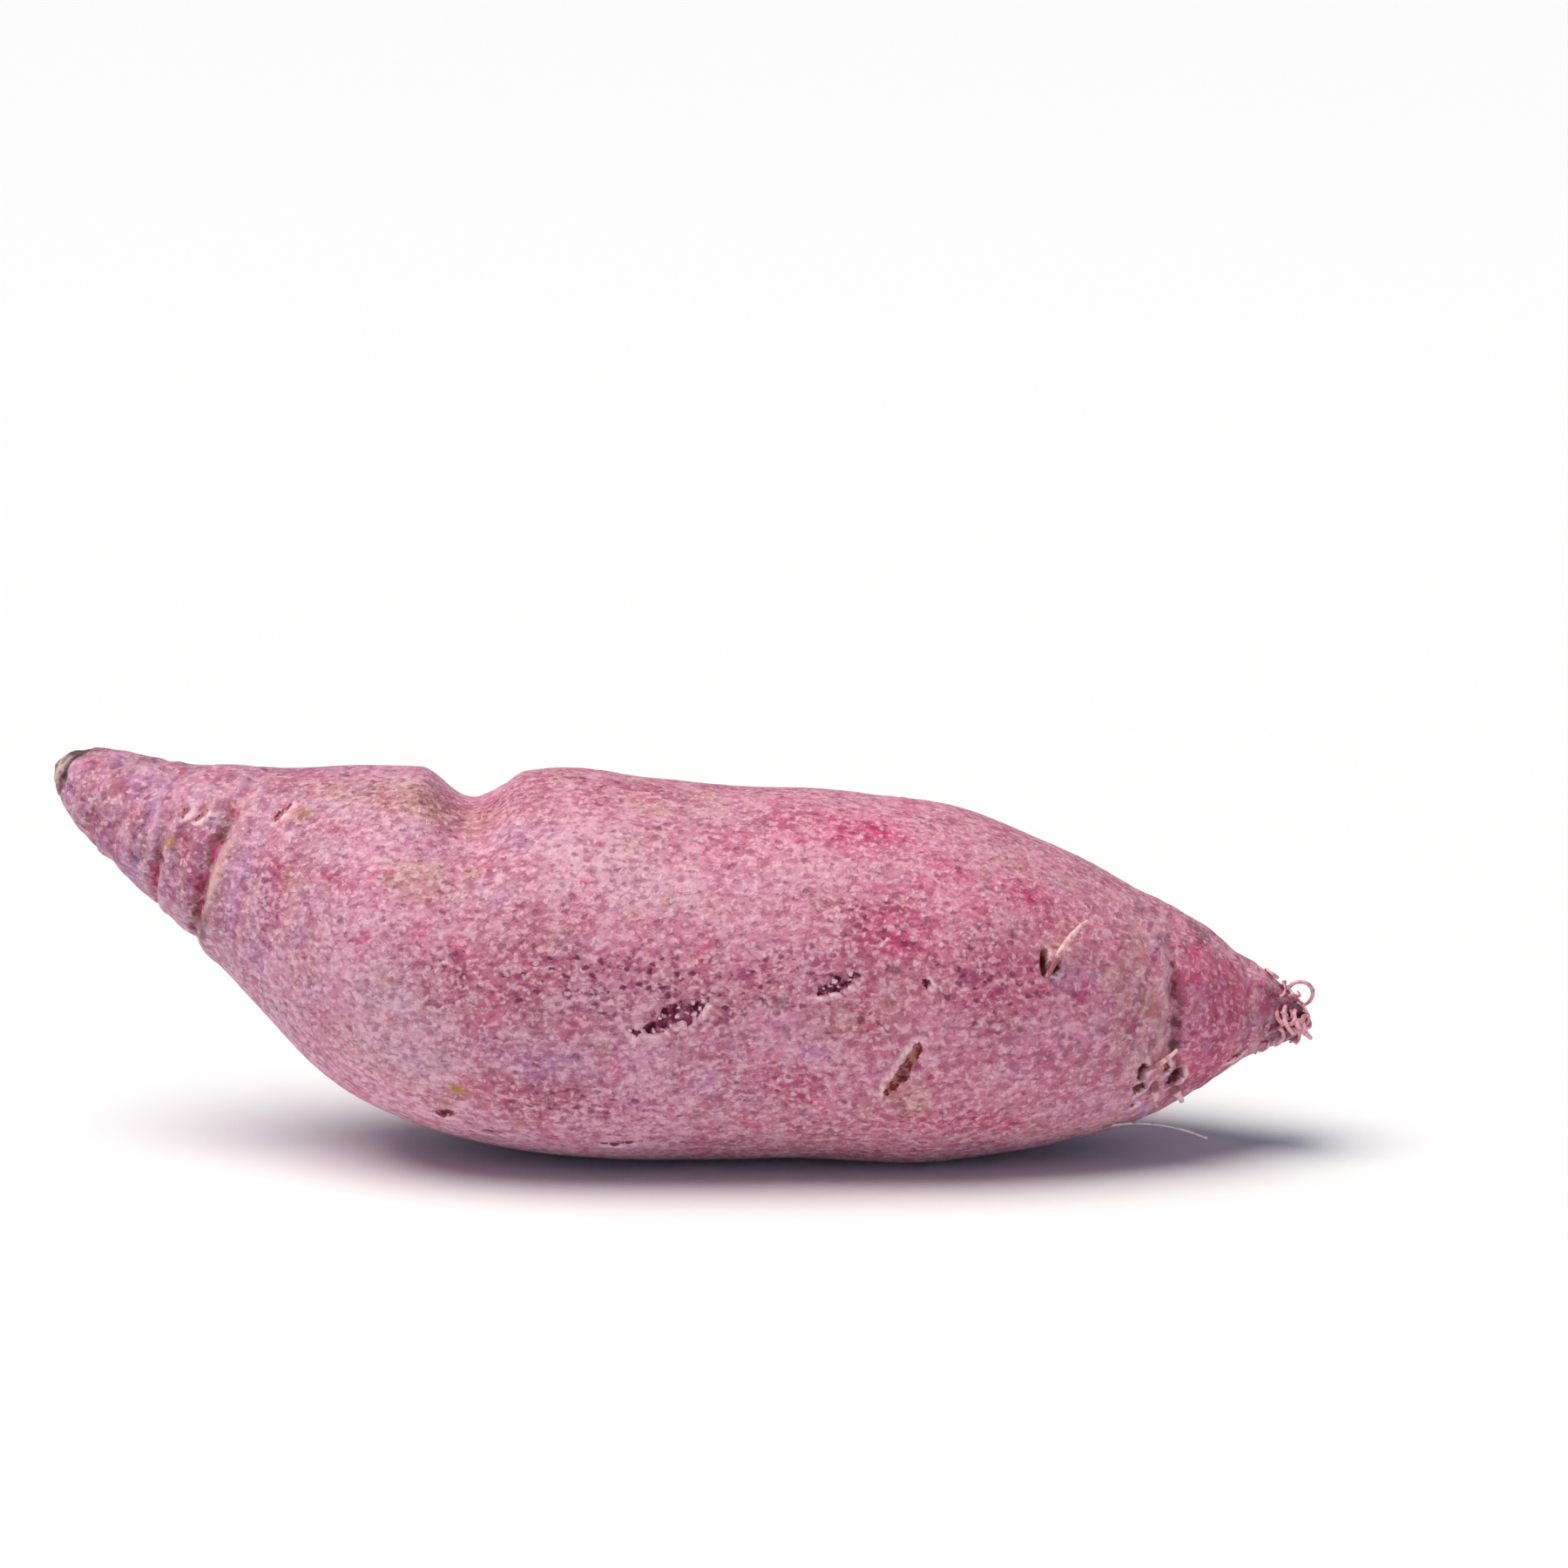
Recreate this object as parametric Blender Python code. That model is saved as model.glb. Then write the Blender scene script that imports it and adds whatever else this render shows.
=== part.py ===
"""A whole purple sweet potato: one storage root with its stem scar, ring creases, root scars and rootlets.

The root lies on its belly along X. The stem end is at -X, turned up and back, and the root tip is at +X.
Z is up, the front is -Y, and the origin is under the middle of its box, on the surface that it rests on.
Angles go round the root from the top: 0 is the top, 90 the front, 180 the belly and 270 the back.
"""

import math
import random

import bmesh
import bpy
from mathutils import Matrix, Quaternion, Vector, noise

MM = 0.001

# The root's line and girth, in millimetres: x, y, z of its middle and the half height there.
SECTIONS = (
    (-103.0, 15.3, 60.9, 1.2),
    (-102.6, 15.2, 60.7, 2.8),
    (-101.6, 14.9, 60.4, 4.0),
    (-99.9, 14.4, 59.9, 4.9),
    (-95.0, 12.7, 57.1, 7.5),
    (-91.0, 11.3, 55.3, 8.7),
    (-86.2, 9.7, 52.7, 10.1),
    (-79.8, 7.8, 50.6, 12.4),
    (-69.6, 5.2, 46.6, 16.6),
    (-59.4, 3.3, 42.9, 21.5),
    (-48.4, 1.7, 38.4, 26.2),
    (-36.8, 0.6, 33.6, 28.8),
    (-24.6, 0.0, 31.2, 30.3),
    (-9.7, -0.5, 30.3, 30.7),
    (2.1, -0.8, 29.9, 30.1),
    (16.4, -1.0, 29.9, 29.4),
    (30.6, -0.8, 28.6, 28.8),
    (42.1, -0.4, 27.4, 28.0),
    (52.5, 0.0, 25.9, 25.6),
    (62.5, 0.4, 24.8, 22.8),
    (73.6, 0.9, 24.0, 17.8),
    (81.9, 1.2, 24.2, 13.2),
    (87.5, 1.4, 23.3, 9.0),
    (93.8, 1.7, 23.0, 5.7),
    (96.6, 1.9, 21.9, 3.7),
    (98.7, 2.0, 21.2, 2.4),
    (100.3, 2.1, 20.9, 1.0),
)
WIDTH_TO_HEIGHT = 1.04
# How far each way the root's heading is taken over, so that its rings turn evenly.
HEADING_REACH = 10.0
# How far the middle of each end stands out past its last ring.
END_CROWN = 0.7

# The skin's rings: corners round each, their spacing, and the least spacing beside a crease and between any two.
SIDES = 46
RING_STEP = 4.0
CREASE_GAP = 0.8
LEAST_GAP = 0.35
# The height of the cut that gives the belly its flat, and how near the cut a corner moves onto it.
BELLY_CUT = 0.6
MERGE_WITHIN = 0.02
# How often the search for the place along the root with a given x halves its range.
HALVINGS = 40

# Low swellings of the skin, a fixed noise with these periods and heights, in millimetres.
SWELLINGS = ((38.0, 0.9), (14.0, 0.35))
# The girth below which the swellings and waves fade away towards the ends, in millimetres of radius.
FADE_RADIUS = 12.0
# Flats and corners round the girth: waves round the root, share of the radius, and where they start.
GIRTH_WAVES = ((2, 0.006, 35.0), (3, 0.010, 10.0), (5, 0.006, 62.0))

# Soft hollows and bulges: x, middle angle, half length, half span in degrees, and height.
HOLLOWS = (
    (-50.0, 20.0, 14.0, 55.0, 0.5),
    (36.0, 300.0, 22.0, 50.0, -1.2),
    (-8.0, 238.0, 26.0, 55.0, 0.9),
    (-52.0, 262.0, 18.0, 60.0, -1.0),
    (58.0, 228.0, 16.0, 55.0, 0.8),
)
# The saddle across the top, where the neck meets the body. These rows are the same, but for x, which is measured
# on the skin itself and not on the root's middle line.
SADDLE = (
    (-34.4, 0.0, 8.5, 70.0, -4.3),
    (-20.0, 5.0, 14.0, 70.0, 1.4),
)

# Ring creases: x, depth, half width, middle angle and half span in degrees.
CREASES = (
    (-88.0, 0.4, 0.9, 100.0, 75.0),
    (-80.8, 1.0, 0.8, 112.0, 72.0),
    (-72.6, 1.4, 1.0, 95.0, 95.0),
    (-61.0, 0.4, 1.2, 92.0, 65.0),
    (-75.5, 0.6, 0.8, 285.0, 70.0),
    (76.2, 0.9, 1.3, 84.0, 62.0),
    (84.5, 0.5, 1.0, 270.0, 80.0),
)
# The raised lip on the body's side of each crease: its share of the crease's depth, and how many half widths away.
CREASE_LIP = 0.35
LIP_AWAY = 2.2
# How many half widths a crease and its lip reach from their middles.
CREASE_REACH = 2.0

# Root scars, sunk slits in the skin: x, angle, length, width, depth, and how steeply each rises towards +X.
SCARS = (
    (-1.1, 89.6, 13.5, 2.4, 0.9, 25.0),
    (22.7, 79.2, 6.8, 1.6, 0.7, 31.0),
    (33.7, 104.6, 11.0, 2.2, 1.0, 68.0),
    (53.5, 64.4, 5.0, 1.6, 1.4, 94.0),
    (71.2, 108.6, 3.0, 1.4, 1.2, 76.0),
    (71.3, 117.4, 2.2, 1.8, 1.3, 20.0),
    (76.4, 120.2, 3.6, 1.9, 1.3, 52.0),
    (-65.8, 43.7, 4.4, 1.0, 0.5, 70.0),
    (-32.2, 131.4, 3.4, 1.8, 0.6, 30.0),
    (-30.0, 226.0, 9.0, 2.0, 1.0, -62.0),
    (12.0, 262.0, 11.0, 2.2, 1.0, -35.0),
    (48.0, 238.0, 7.0, 1.7, 1.0, 72.0),
    (-12.0, 318.0, 6.5, 1.6, 0.9, 80.0),
    (30.0, 345.0, 8.0, 1.6, 0.8, -75.0),
    (68.0, 300.0, 5.5, 1.6, 0.9, 65.0),
)
CUTTER_SIDES = 10
CUTTER_RINGS = 6

# Single rootlets: x, angle, length, root radius, lean from upright, heading downhill from +X, bend back to
# the skin, and sweep.
ROOTLETS = (
    (54.4, 67.0, 10.5, 0.55, 72.0, -78.0, 26.0, -34.0),
    (72.4, 107.2, 5.0, 0.50, 64.0, -30.0, 30.0, 10.0),
    (73.2, 120.0, 3.4, 0.60, 45.0, 100.0, 20.0, 10.0),
    (77.0, 130.0, 2.9, 0.60, 42.0, 60.0, 30.0, -10.0),
    (69.8, 146.0, 14.2, 0.45, 84.0, 0.0, -46.0, 0.0),
    (48.4, 236.0, 6.0, 0.45, 55.0, 110.0, 35.0, -20.0),
    (-30.4, 224.0, 5.0, 0.45, 58.0, 160.0, 30.0, 25.0),
    (67.6, 299.0, 5.5, 0.45, 55.0, -40.0, 40.0, 20.0),
)
ROOTLET_SIDES = 5
ROOTLET_JOINTS = 8
ROOTLET_SUNK = 1.2
ROOTLET_TAPER = 0.45

# The tangle of curled rootlets round the root tip.
TANGLE_COUNT = 12
TANGLE_FROM = 94.0
TANGLE_TO = 99.6
TANGLE_LENGTH = (3.2, 6.0)
TANGLE_RADIUS = 0.45
TANGLE_LEAN = (25.0, 60.0)
TANGLE_HEADING = 50.0
TANGLE_BEND = (60.0, 150.0)
TANGLE_SWEEP = 70.0
TANGLE_SEED = 11
# Neighbouring rootlets of the tangle stand this many degrees round the tip from each other, give or take.
GOLDEN_ANGLE = 137.5
ANGLE_SPREAD = 15.0

# Edges that turn by more than this many degrees are drawn sharp.
SHARP_TURN = 50.0
SKIN_COLOUR = (0.48, 0.20, 0.29, 1.0)
SKIN_ROUGHNESS = 0.6


def clear_scene():
    """Takes out whatever the scene holds, so that only the root is left at the end."""
    for thing in list(bpy.data.objects):
        bpy.data.objects.remove(thing)


def knots_of(rows):
    """The distance along the root's outline at each section."""
    knots = [0.0]
    for before, after in zip(rows, rows[1:]):
        knots.append(knots[-1] + (after - before).length)
    return knots


ROWS = [Vector(row) for row in SECTIONS]
KNOTS = knots_of(ROWS)


def slope_at(i):
    """How the section changes for each millimetre at knot i."""
    before, after = max(i - 1, 0), min(i + 1, len(ROWS) - 1)
    return (ROWS[after] - ROWS[before]) / (KNOTS[after] - KNOTS[before])


def section(along):
    """The middle (x, y, z) and half height at a distance along the root, on a smooth curve through the rows."""
    along = min(max(along, 0.0), KNOTS[-1])
    i = max(k for k in range(len(KNOTS) - 1) if KNOTS[k] <= along)
    span = KNOTS[i + 1] - KNOTS[i]
    t = (along - KNOTS[i]) / span
    start, end = ROWS[i], ROWS[i + 1]
    return (
        start * (2 * t**3 - 3 * t**2 + 1)
        + slope_at(i) * span * (t**3 - 2 * t**2 + t)
        + end * (-2 * t**3 + 3 * t**2)
        + slope_at(i + 1) * span * (t**3 - t**2)
    )


def along_at(x):
    """The distance along the root where its middle has this x."""
    low, high = 0.0, KNOTS[-1]
    for _ in range(HALVINGS):
        middle = (low + high) / 2
        low, high = (middle, high) if section(middle)[0] < x else (low, middle)
    return low


def frame_at(along):
    """The root's heading, its up and its front at a distance along it."""
    ahead = section(along + HEADING_REACH).to_3d() - section(along - HEADING_REACH).to_3d()
    heading = ahead.normalized()
    up = (Vector((0, 0, 1)) - heading * heading.z).normalized()
    return heading, up, heading.cross(up)


def bump(distance):
    """A soft bell: 1 in the middle, 0 from 1 outwards."""
    return (1 - distance * distance) ** 2 if abs(distance) < 1 else 0.0


def turn_between(angle, other):
    """The difference between two angles, from -180 to 180 degrees."""
    return (angle - other + 180) % 360 - 180


def hollow_relief(rows, x, angle):
    """How far the soft hollows of a table sink the skin there, and its bulges raise it."""
    relief = 0.0
    for centre, middle, half_length, half_span, height in rows:
        relief += height * bump((x - centre) / half_length) * bump(turn_between(angle, middle) / half_span)
    return relief


def crease_relief(x, angle):
    """How far the ring creases sink the skin there, and their lips raise it."""
    relief = 0.0
    for centre, depth, half_width, middle, half_span in CREASES:
        strength = depth * bump(turn_between(angle, middle) / half_span)
        reach = CREASE_REACH * half_width
        relief -= strength * bump((x - centre) / reach)
        lip = centre + math.copysign(LIP_AWAY * half_width, -centre)
        relief += CREASE_LIP * strength * bump((x - lip) / reach)
    return relief


def skin_point(along, angle):
    """A point of the skin, in millimetres."""
    middle = section(along)
    heading, up, front = frame_at(along)
    radius = middle[3]
    turn = math.radians(angle)
    out = up * math.cos(turn) + front * math.sin(turn) * WIDTH_TO_HEIGHT
    wave = sum(share * math.cos(count * (turn - math.radians(start))) for count, share, start in GIRTH_WAVES)
    place = middle.to_3d() + out * radius
    swelling = sum(height * noise.noise(place / period) for period, height in SWELLINGS)
    fade = min(1.0, radius / FADE_RADIUS)
    relief = fade * (radius * wave + swelling)
    relief += hollow_relief(HOLLOWS, middle[0], angle) + hollow_relief(SADDLE, place.x, angle)
    relief += crease_relief(middle[0], angle)
    return place + out * relief


def ring_places():
    """Where the rings of the skin stand: evenly, with three more at each crease."""
    count = round(KNOTS[-1] / RING_STEP)
    even = [KNOTS[-1] * k / count for k in range(count + 1)]
    fine = []
    for centre, _, half_width, _, _ in CREASES:
        for offset in (-1, 0, 1, LIP_AWAY):
            fine.append(along_at(centre + offset * math.copysign(half_width, -centre)))
    spare = [place for place in even if all(abs(place - other) > CREASE_GAP for other in fine)]
    places = []
    for place in sorted(fine + spare):
        if not places or place - places[-1] > LEAST_GAP:
            places.append(place)
    return places


def grow_skin():
    """The closed skin, ring by ring from the stem scar to the root tip, cut flat where it rests."""
    skin = bmesh.new()
    rings = [
        [skin.verts.new(skin_point(along, 360 * k / SIDES)) for k in range(SIDES)]
        for along in ring_places()
    ]
    for ring, after in zip(rings, rings[1:]):
        for k in range(SIDES):
            n = (k + 1) % SIDES
            skin.faces.new((ring[k], after[k], after[n], ring[n]))
    for ring, end, crown in ((rings[0], 0.0, -END_CROWN), (rings[-1], KNOTS[-1], END_CROWN)):
        heading, _, _ = frame_at(end)
        pole = skin.verts.new(section(end).to_3d() + heading * crown)
        for k in range(SIDES):
            skin.faces.new((ring[k], ring[(k + 1) % SIDES], pole))
    bmesh.ops.recalc_face_normals(skin, faces=skin.faces)
    everything = skin.verts[:] + skin.edges[:] + skin.faces[:]
    belly = (0, 0, BELLY_CUT)
    bmesh.ops.bisect_plane(
        skin, geom=everything, dist=MERGE_WITHIN, plane_co=belly, plane_no=(0, 0, 1), clear_inner=True
    )
    rims = [edge for edge in skin.edges if edge.is_boundary]
    for edge in rims:
        for vertex in edge.verts:
            vertex.co.z = BELLY_CUT
    bmesh.ops.holes_fill(skin, edges=rims, sides=0)
    bmesh.ops.recalc_face_normals(skin, faces=skin.faces)
    return skin


def surface_frame(x, angle):
    """A skin point and its outward, lengthwise and uphill directions there."""
    along = along_at(x)
    place = skin_point(along, angle)
    length = (skin_point(along + 1, angle) - skin_point(along - 1, angle)).normalized()
    girth = (skin_point(along, angle + 2) - skin_point(along, angle - 2)).normalized()
    out = girth.cross(length).normalized()
    return place, out, length, out.cross(length)


def to_object(name, shape):
    """A named object of a bmesh drawn in millimetres."""
    bmesh.ops.scale(shape, vec=(MM, MM, MM), verts=shape.verts)
    mesh = bpy.data.meshes.new(name)
    shape.to_mesh(mesh)
    shape.free()
    made = bpy.data.objects.new(name, mesh)
    bpy.context.scene.collection.objects.link(made)
    return made


def scar_cutter(number, x, angle, length, width, depth, tilt):
    """A pointed lens that sinks one scar into the skin."""
    place, out, lengthwise, uphill = surface_frame(x, angle)
    shape = bmesh.new()
    bmesh.ops.create_uvsphere(shape, u_segments=CUTTER_SIDES, v_segments=CUTTER_RINGS, radius=0.5)
    turned = Quaternion(out, math.radians(tilt))
    run, across = turned @ lengthwise, turned @ uphill
    axes = Matrix((across * width, out * depth * 2, run * length)).transposed()
    bmesh.ops.transform(shape, matrix=Matrix.Translation(place) @ axes.to_4x4(), verts=shape.verts)
    bmesh.ops.recalc_face_normals(shape, faces=shape.faces)
    return to_object(f"scar_cutter_{number}", shape)


def tube(points, radii, name):
    """A closed tapering tube with few sides through the points."""
    shape = bmesh.new()
    rings = []
    side = (points[1] - points[0]).orthogonal().normalized()
    for i, (point, radius) in enumerate(zip(points, radii)):
        ahead = (points[min(i + 1, len(points) - 1)] - points[max(i - 1, 0)]).normalized()
        side = (side - ahead * side.dot(ahead)).normalized()
        other = ahead.cross(side)
        turns = [2 * math.pi * k / ROOTLET_SIDES for k in range(ROOTLET_SIDES)]
        rings.append(
            [shape.verts.new(point + (side * math.cos(t) + other * math.sin(t)) * radius) for t in turns]
        )
    for ring, after in zip(rings, rings[1:]):
        for k in range(ROOTLET_SIDES):
            n = (k + 1) % ROOTLET_SIDES
            shape.faces.new((ring[k], ring[n], after[n], after[k]))
    shape.faces.new(rings[0])
    shape.faces.new(rings[-1])
    bmesh.ops.recalc_face_normals(shape, faces=shape.faces)
    return to_object(name, shape)


def rootlet(name, x, angle, length, radius, lean, heading, bend, sweep):
    """One rootlet: it leaves the skin leaning over, then bends back down and sweeps sideways."""
    place, out, lengthwise, _ = surface_frame(x, angle)
    across = Quaternion(out, math.radians(-heading)) @ lengthwise
    step = length / ROOTLET_JOINTS
    start = out * math.cos(math.radians(lean)) + across * math.sin(math.radians(lean))
    points = [place - start * ROOTLET_SUNK]
    point, ahead = place, start
    for _ in range(ROOTLET_JOINTS):
        points.append(point)
        down = Quaternion(out.cross(ahead), math.radians(bend / ROOTLET_JOINTS))
        aside = Quaternion(out, math.radians(sweep / ROOTLET_JOINTS))
        ahead = aside @ (down @ ahead)
        point = point + ahead * step
    points.append(point)
    last = len(points) - 1
    radii = [radius * (1 - (1 - ROOTLET_TAPER) * i / last) for i in range(last + 1)]
    return tube(points, radii, name)


def tangle():
    """The curled rootlets round the tip, placed by a seeded draw, evenly round it."""
    draw = random.Random(TANGLE_SEED)
    made = []
    for k in range(TANGLE_COUNT):
        x = TANGLE_FROM + (TANGLE_TO - TANGLE_FROM) * (k + draw.random()) / TANGLE_COUNT
        angle = (k * GOLDEN_ANGLE + draw.uniform(-ANGLE_SPREAD, ANGLE_SPREAD)) % 360
        length = draw.uniform(*TANGLE_LENGTH)
        lean = draw.uniform(*TANGLE_LEAN)
        heading = draw.uniform(-TANGLE_HEADING, TANGLE_HEADING)
        bend = draw.uniform(*TANGLE_BEND)
        sweep = draw.uniform(-TANGLE_SWEEP, TANGLE_SWEEP)
        made.append(rootlet(f"tangle_{k}", x, angle, length, TANGLE_RADIUS, lean, heading, bend, sweep))
    return made


def apply_boolean(root, tools, operation):
    """Joins or cuts all the tools at once, then takes them out of the scene."""
    group = bpy.data.collections.new(operation)
    bpy.context.scene.collection.children.link(group)
    for tool in tools:
        group.objects.link(tool)
    boolean = root.modifiers.new(operation, "BOOLEAN")
    boolean.operation = operation
    boolean.operand_type = "COLLECTION"
    boolean.collection = group
    boolean.solver = "EXACT"
    graph = bpy.context.evaluated_depsgraph_get()
    mesh = bpy.data.meshes.new_from_object(root.evaluated_get(graph))
    root.modifiers.clear()
    root.data = mesh
    for tool in tools:
        bpy.data.objects.remove(tool)
    bpy.data.collections.remove(group)


def skin_material():
    """The dusty pink-purple skin."""
    material = bpy.data.materials.new("purple_skin")
    material.use_nodes = True
    shader = material.node_tree.nodes["Principled BSDF"]
    shader.inputs["Base Color"].default_value = SKIN_COLOUR
    shader.inputs["Roughness"].default_value = SKIN_ROUGHNESS
    shader.inputs["Metallic"].default_value = 0.0
    return material


def stand_at_origin(root):
    """Moves the mesh so that the origin is under the middle of its box, on the surface."""
    corners = [vertex.co for vertex in root.data.vertices]
    lows = [min(c[i] for c in corners) for i in range(3)]
    highs = [max(c[i] for c in corners) for i in range(3)]
    shift = Vector((-(lows[0] + highs[0]) / 2, -(lows[1] + highs[1]) / 2, -lows[2]))
    root.data.transform(Matrix.Translation(shift))


def build():
    clear_scene()
    tuber = to_object("tuber", grow_skin())
    apply_boolean(tuber, [scar_cutter(n, *scar) for n, scar in enumerate(SCARS)], "DIFFERENCE")
    rootlets = [rootlet(f"rootlet_{n}", *row) for n, row in enumerate(ROOTLETS)]
    apply_boolean(tuber, rootlets + tangle(), "UNION")
    stand_at_origin(tuber)
    tuber.data.materials.clear()
    tuber.data.materials.append(skin_material())
    tuber.data.shade_smooth()
    tuber.data.set_sharp_from_angle(angle=math.radians(SHARP_TURN))


build()
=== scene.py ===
"""The looks of a whole purple sweet potato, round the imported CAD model.

The root lies on its belly along X, with its stem end at -X, turned up and back, and its tip at +X.
Drawing values are millimetres on the root's own line, as in the CAD source. Angles go round the root from
the top: 0 is the top, 90 the front, 180 the belly and 270 the back. set_on_frame() puts the pieces in place.
"""

import math
import random
from types import SimpleNamespace

import bpy
import numpy as np
from mathutils import Matrix, Quaternion, Vector, noise


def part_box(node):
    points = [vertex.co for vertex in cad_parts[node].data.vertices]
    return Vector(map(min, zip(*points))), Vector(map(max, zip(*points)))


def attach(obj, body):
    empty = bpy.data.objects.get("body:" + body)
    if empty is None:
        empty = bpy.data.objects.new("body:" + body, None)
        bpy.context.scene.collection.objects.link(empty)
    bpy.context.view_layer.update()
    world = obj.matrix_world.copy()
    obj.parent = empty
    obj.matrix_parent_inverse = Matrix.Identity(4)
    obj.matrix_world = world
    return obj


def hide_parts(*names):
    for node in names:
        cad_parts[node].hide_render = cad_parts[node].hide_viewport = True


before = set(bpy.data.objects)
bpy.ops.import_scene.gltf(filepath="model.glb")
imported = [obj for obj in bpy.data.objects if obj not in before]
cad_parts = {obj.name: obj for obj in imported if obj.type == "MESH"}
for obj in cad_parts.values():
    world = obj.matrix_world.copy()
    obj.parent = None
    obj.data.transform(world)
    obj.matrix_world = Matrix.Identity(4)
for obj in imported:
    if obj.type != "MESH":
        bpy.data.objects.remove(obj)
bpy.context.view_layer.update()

MM = 0.001

# The camera: a long lens, a little above the root, aimed at the middle of the photograph.
LENS = 100.0
CAMERA_PITCH = 10.5
CAMERA_AIM = (16.2, 0.0, 60.0)
CAMERA_DISTANCE = 694.0

# The tent's light, a little cool: bright up to the first of these rises of the direction, and dim from
# the second.
TENT_LOW = 0.04
TENT_HIGH = 0.32
TENT_EDGE = 0.36
TENT_DIM = 0.2
TENT_TINT = "#c0e2fc"
# The thin white strip at the tent's foot: its brightness, and the rises between which it fades.
STRIP_GLOW = 1.9
STRIP_LOW = 0.016
STRIP_HIGH = 0.028
# The overhead light, a little warm: where it comes from, its strength, and its spread in degrees.
OVERHEAD_FROM = (-0.38, -0.13, 1.0)
OVERHEAD_STRENGTH = 3.38
OVERHEAD_SPREAD = 48.0
OVERHEAD_TINT = "#fff2ea"
# The floor's side, in metres.
FLOOR_SIZE = 120.0

# The root's line and girth: x, y, z of its middle and the half height there.
SECTIONS = (
    (-103.0, 15.3, 60.9, 1.2),
    (-102.6, 15.2, 60.7, 2.8),
    (-101.6, 14.9, 60.4, 4.0),
    (-99.9, 14.4, 59.9, 4.9),
    (-95.0, 12.7, 57.1, 7.5),
    (-91.0, 11.3, 55.3, 8.7),
    (-86.2, 9.7, 52.7, 10.1),
    (-79.8, 7.8, 50.6, 12.4),
    (-69.6, 5.2, 46.6, 16.6),
    (-59.4, 3.3, 42.9, 21.5),
    (-48.4, 1.7, 38.4, 26.2),
    (-36.8, 0.6, 33.6, 28.8),
    (-24.6, 0.0, 31.2, 30.3),
    (-9.7, -0.5, 30.3, 30.7),
    (2.1, -0.8, 29.9, 30.1),
    (16.4, -1.0, 29.9, 29.4),
    (30.6, -0.8, 28.6, 28.8),
    (42.1, -0.4, 27.4, 28.0),
    (52.5, 0.0, 25.9, 25.6),
    (62.5, 0.4, 24.8, 22.8),
    (73.6, 0.9, 24.0, 17.8),
    (81.9, 1.2, 24.2, 13.2),
    (87.5, 1.4, 23.3, 9.0),
    (93.8, 1.7, 23.0, 5.7),
    (96.6, 1.9, 21.9, 3.7),
    (98.7, 2.0, 21.2, 2.4),
    (100.3, 2.1, 20.9, 1.0),
)
WIDTH_TO_HEIGHT = 1.04
# The root's heading is read between the places this far behind and ahead.
HEADING_REACH = 10.0
# No point of the skin lies lower than this, so that the belly is flat where the root rests.
BELLY_CUT = 0.6
# Places are measured against this many stations along the root, so many places at a time.
STATION_COUNT = 900
BATCH = 8000
# A search along the root halves its span this many times.
HALVINGS = 40

# The cage that the skin is pulled from: rings along it, corners round it, and how often it is subdivided.
CAGE_RINGS = 47
CAGE_SIDES = 32
CAGE_LEVELS = 3
# Subdivision draws a ring of 32 corners in by this much.
CAGE_SWELL = 1.0064

# Waves of noise are rows of height, period and seed, as the low swellings are. Waves round the girth are
# rows of count, height as a share of the radius, and start in degrees. Both fade where the root is thin.
SWELLINGS = ((0.9, 38.0, 0.0), (0.35, 14.0, 0.0))
GIRTH_WAVES = ((2, 0.006, 35.0), (3, 0.010, 10.0), (5, 0.006, 62.0))
FADE_RADIUS = 12.0

# Soft hollows and bulges: x, middle angle, half length, half span in degrees, and height.
HOLLOWS = (
    (-50, 20, 14, 55, 0.5),
    (36, 300, 22, 50, -1.2),
    (-8, 238, 26, 55, 0.9),
    (-52, 262, 18, 60, -1),
    (58, 228, 16, 55, 0.8),
)
# The saddle across the top, where the neck meets the body: such rows, but with x measured on the skin.
SADDLE = (
    (-34.4, 0, 8.5, 70, -4.3),
    (-20, 5, 14, 70, 1.4),
)

# Ring creases: x, depth, half width, middle angle, half span, and how dark the crease's line is, partly its
# own colour and partly painted shade.
CREASES = (
    (-96.2, 0.25, 0.7, 60, 70, 0.25),
    (-92, 0.30, 0.8, 130, 80, 0.35),
    (-88, 0.40, 0.9, 100, 75, 0.3),
    (-83.8, 0.35, 0.7, 98, 55, 0.35),
    (-80.8, 1.00, 0.8, 112, 72, 0.7),
    (-76.8, 0.30, 0.7, 80, 60, 0.35),
    (-72.6, 1.50, 1.1, 95, 95, 0.8),
    (-66.2, 0.30, 0.8, 90, 60, 0.25),
    (-61, 0.40, 1.2, 92, 65, 0.3),
    (-54.6, 0.20, 1.2, 100, 50, 0.1),
    (-75.5, 0.60, 0.8, 285, 70, 0.7),
    (-82.5, 0.45, 0.8, 250, 75, 0.55),
    (76.2, 0.80, 1.3, 84, 62, 0.85),
    (84.5, 0.50, 1, 270, 80, 0.6),
    (88.6, 0.25, 0.8, 80, 80, 0.25),
    (91.5, 0.20, 0.6, 110, 80, 0.25),
)
# A crease is a soft groove with a sharp cut in it, each a share of its depth, and fades to its ends.
GROOVE_SHARE = 0.55
CUT_SHARE = 0.45
CREASE_FADE = 0.6
# Across a crease, in its half widths: how far the cut reaches, then the middle and the reach of the
# groove, the raised lip, the dark line, partly painted shade, and the pale line.
CUT_REACH = 0.5
GROOVE = (0.0, 1.8)
RAISED_LIP = (2.2, 1.6)
DARK_LINE = (-0.2, 1.4)
PALE_LINE = (1.8, 0.9)
# The lip's height as a share of the crease's depth.
LIP_HEIGHT = 0.35
# The waves by which a crease wanders from a true ring, and those that make its lines ragged, round this
# strength.
CREASE_WANDER = ((0.9, 11.0, 3.0), (0.35, 3.0, 5.0))
LINE_STRENGTH = 0.85
LINE_RAGGED = ((0.7, 2.6, 7.0),)

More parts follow.
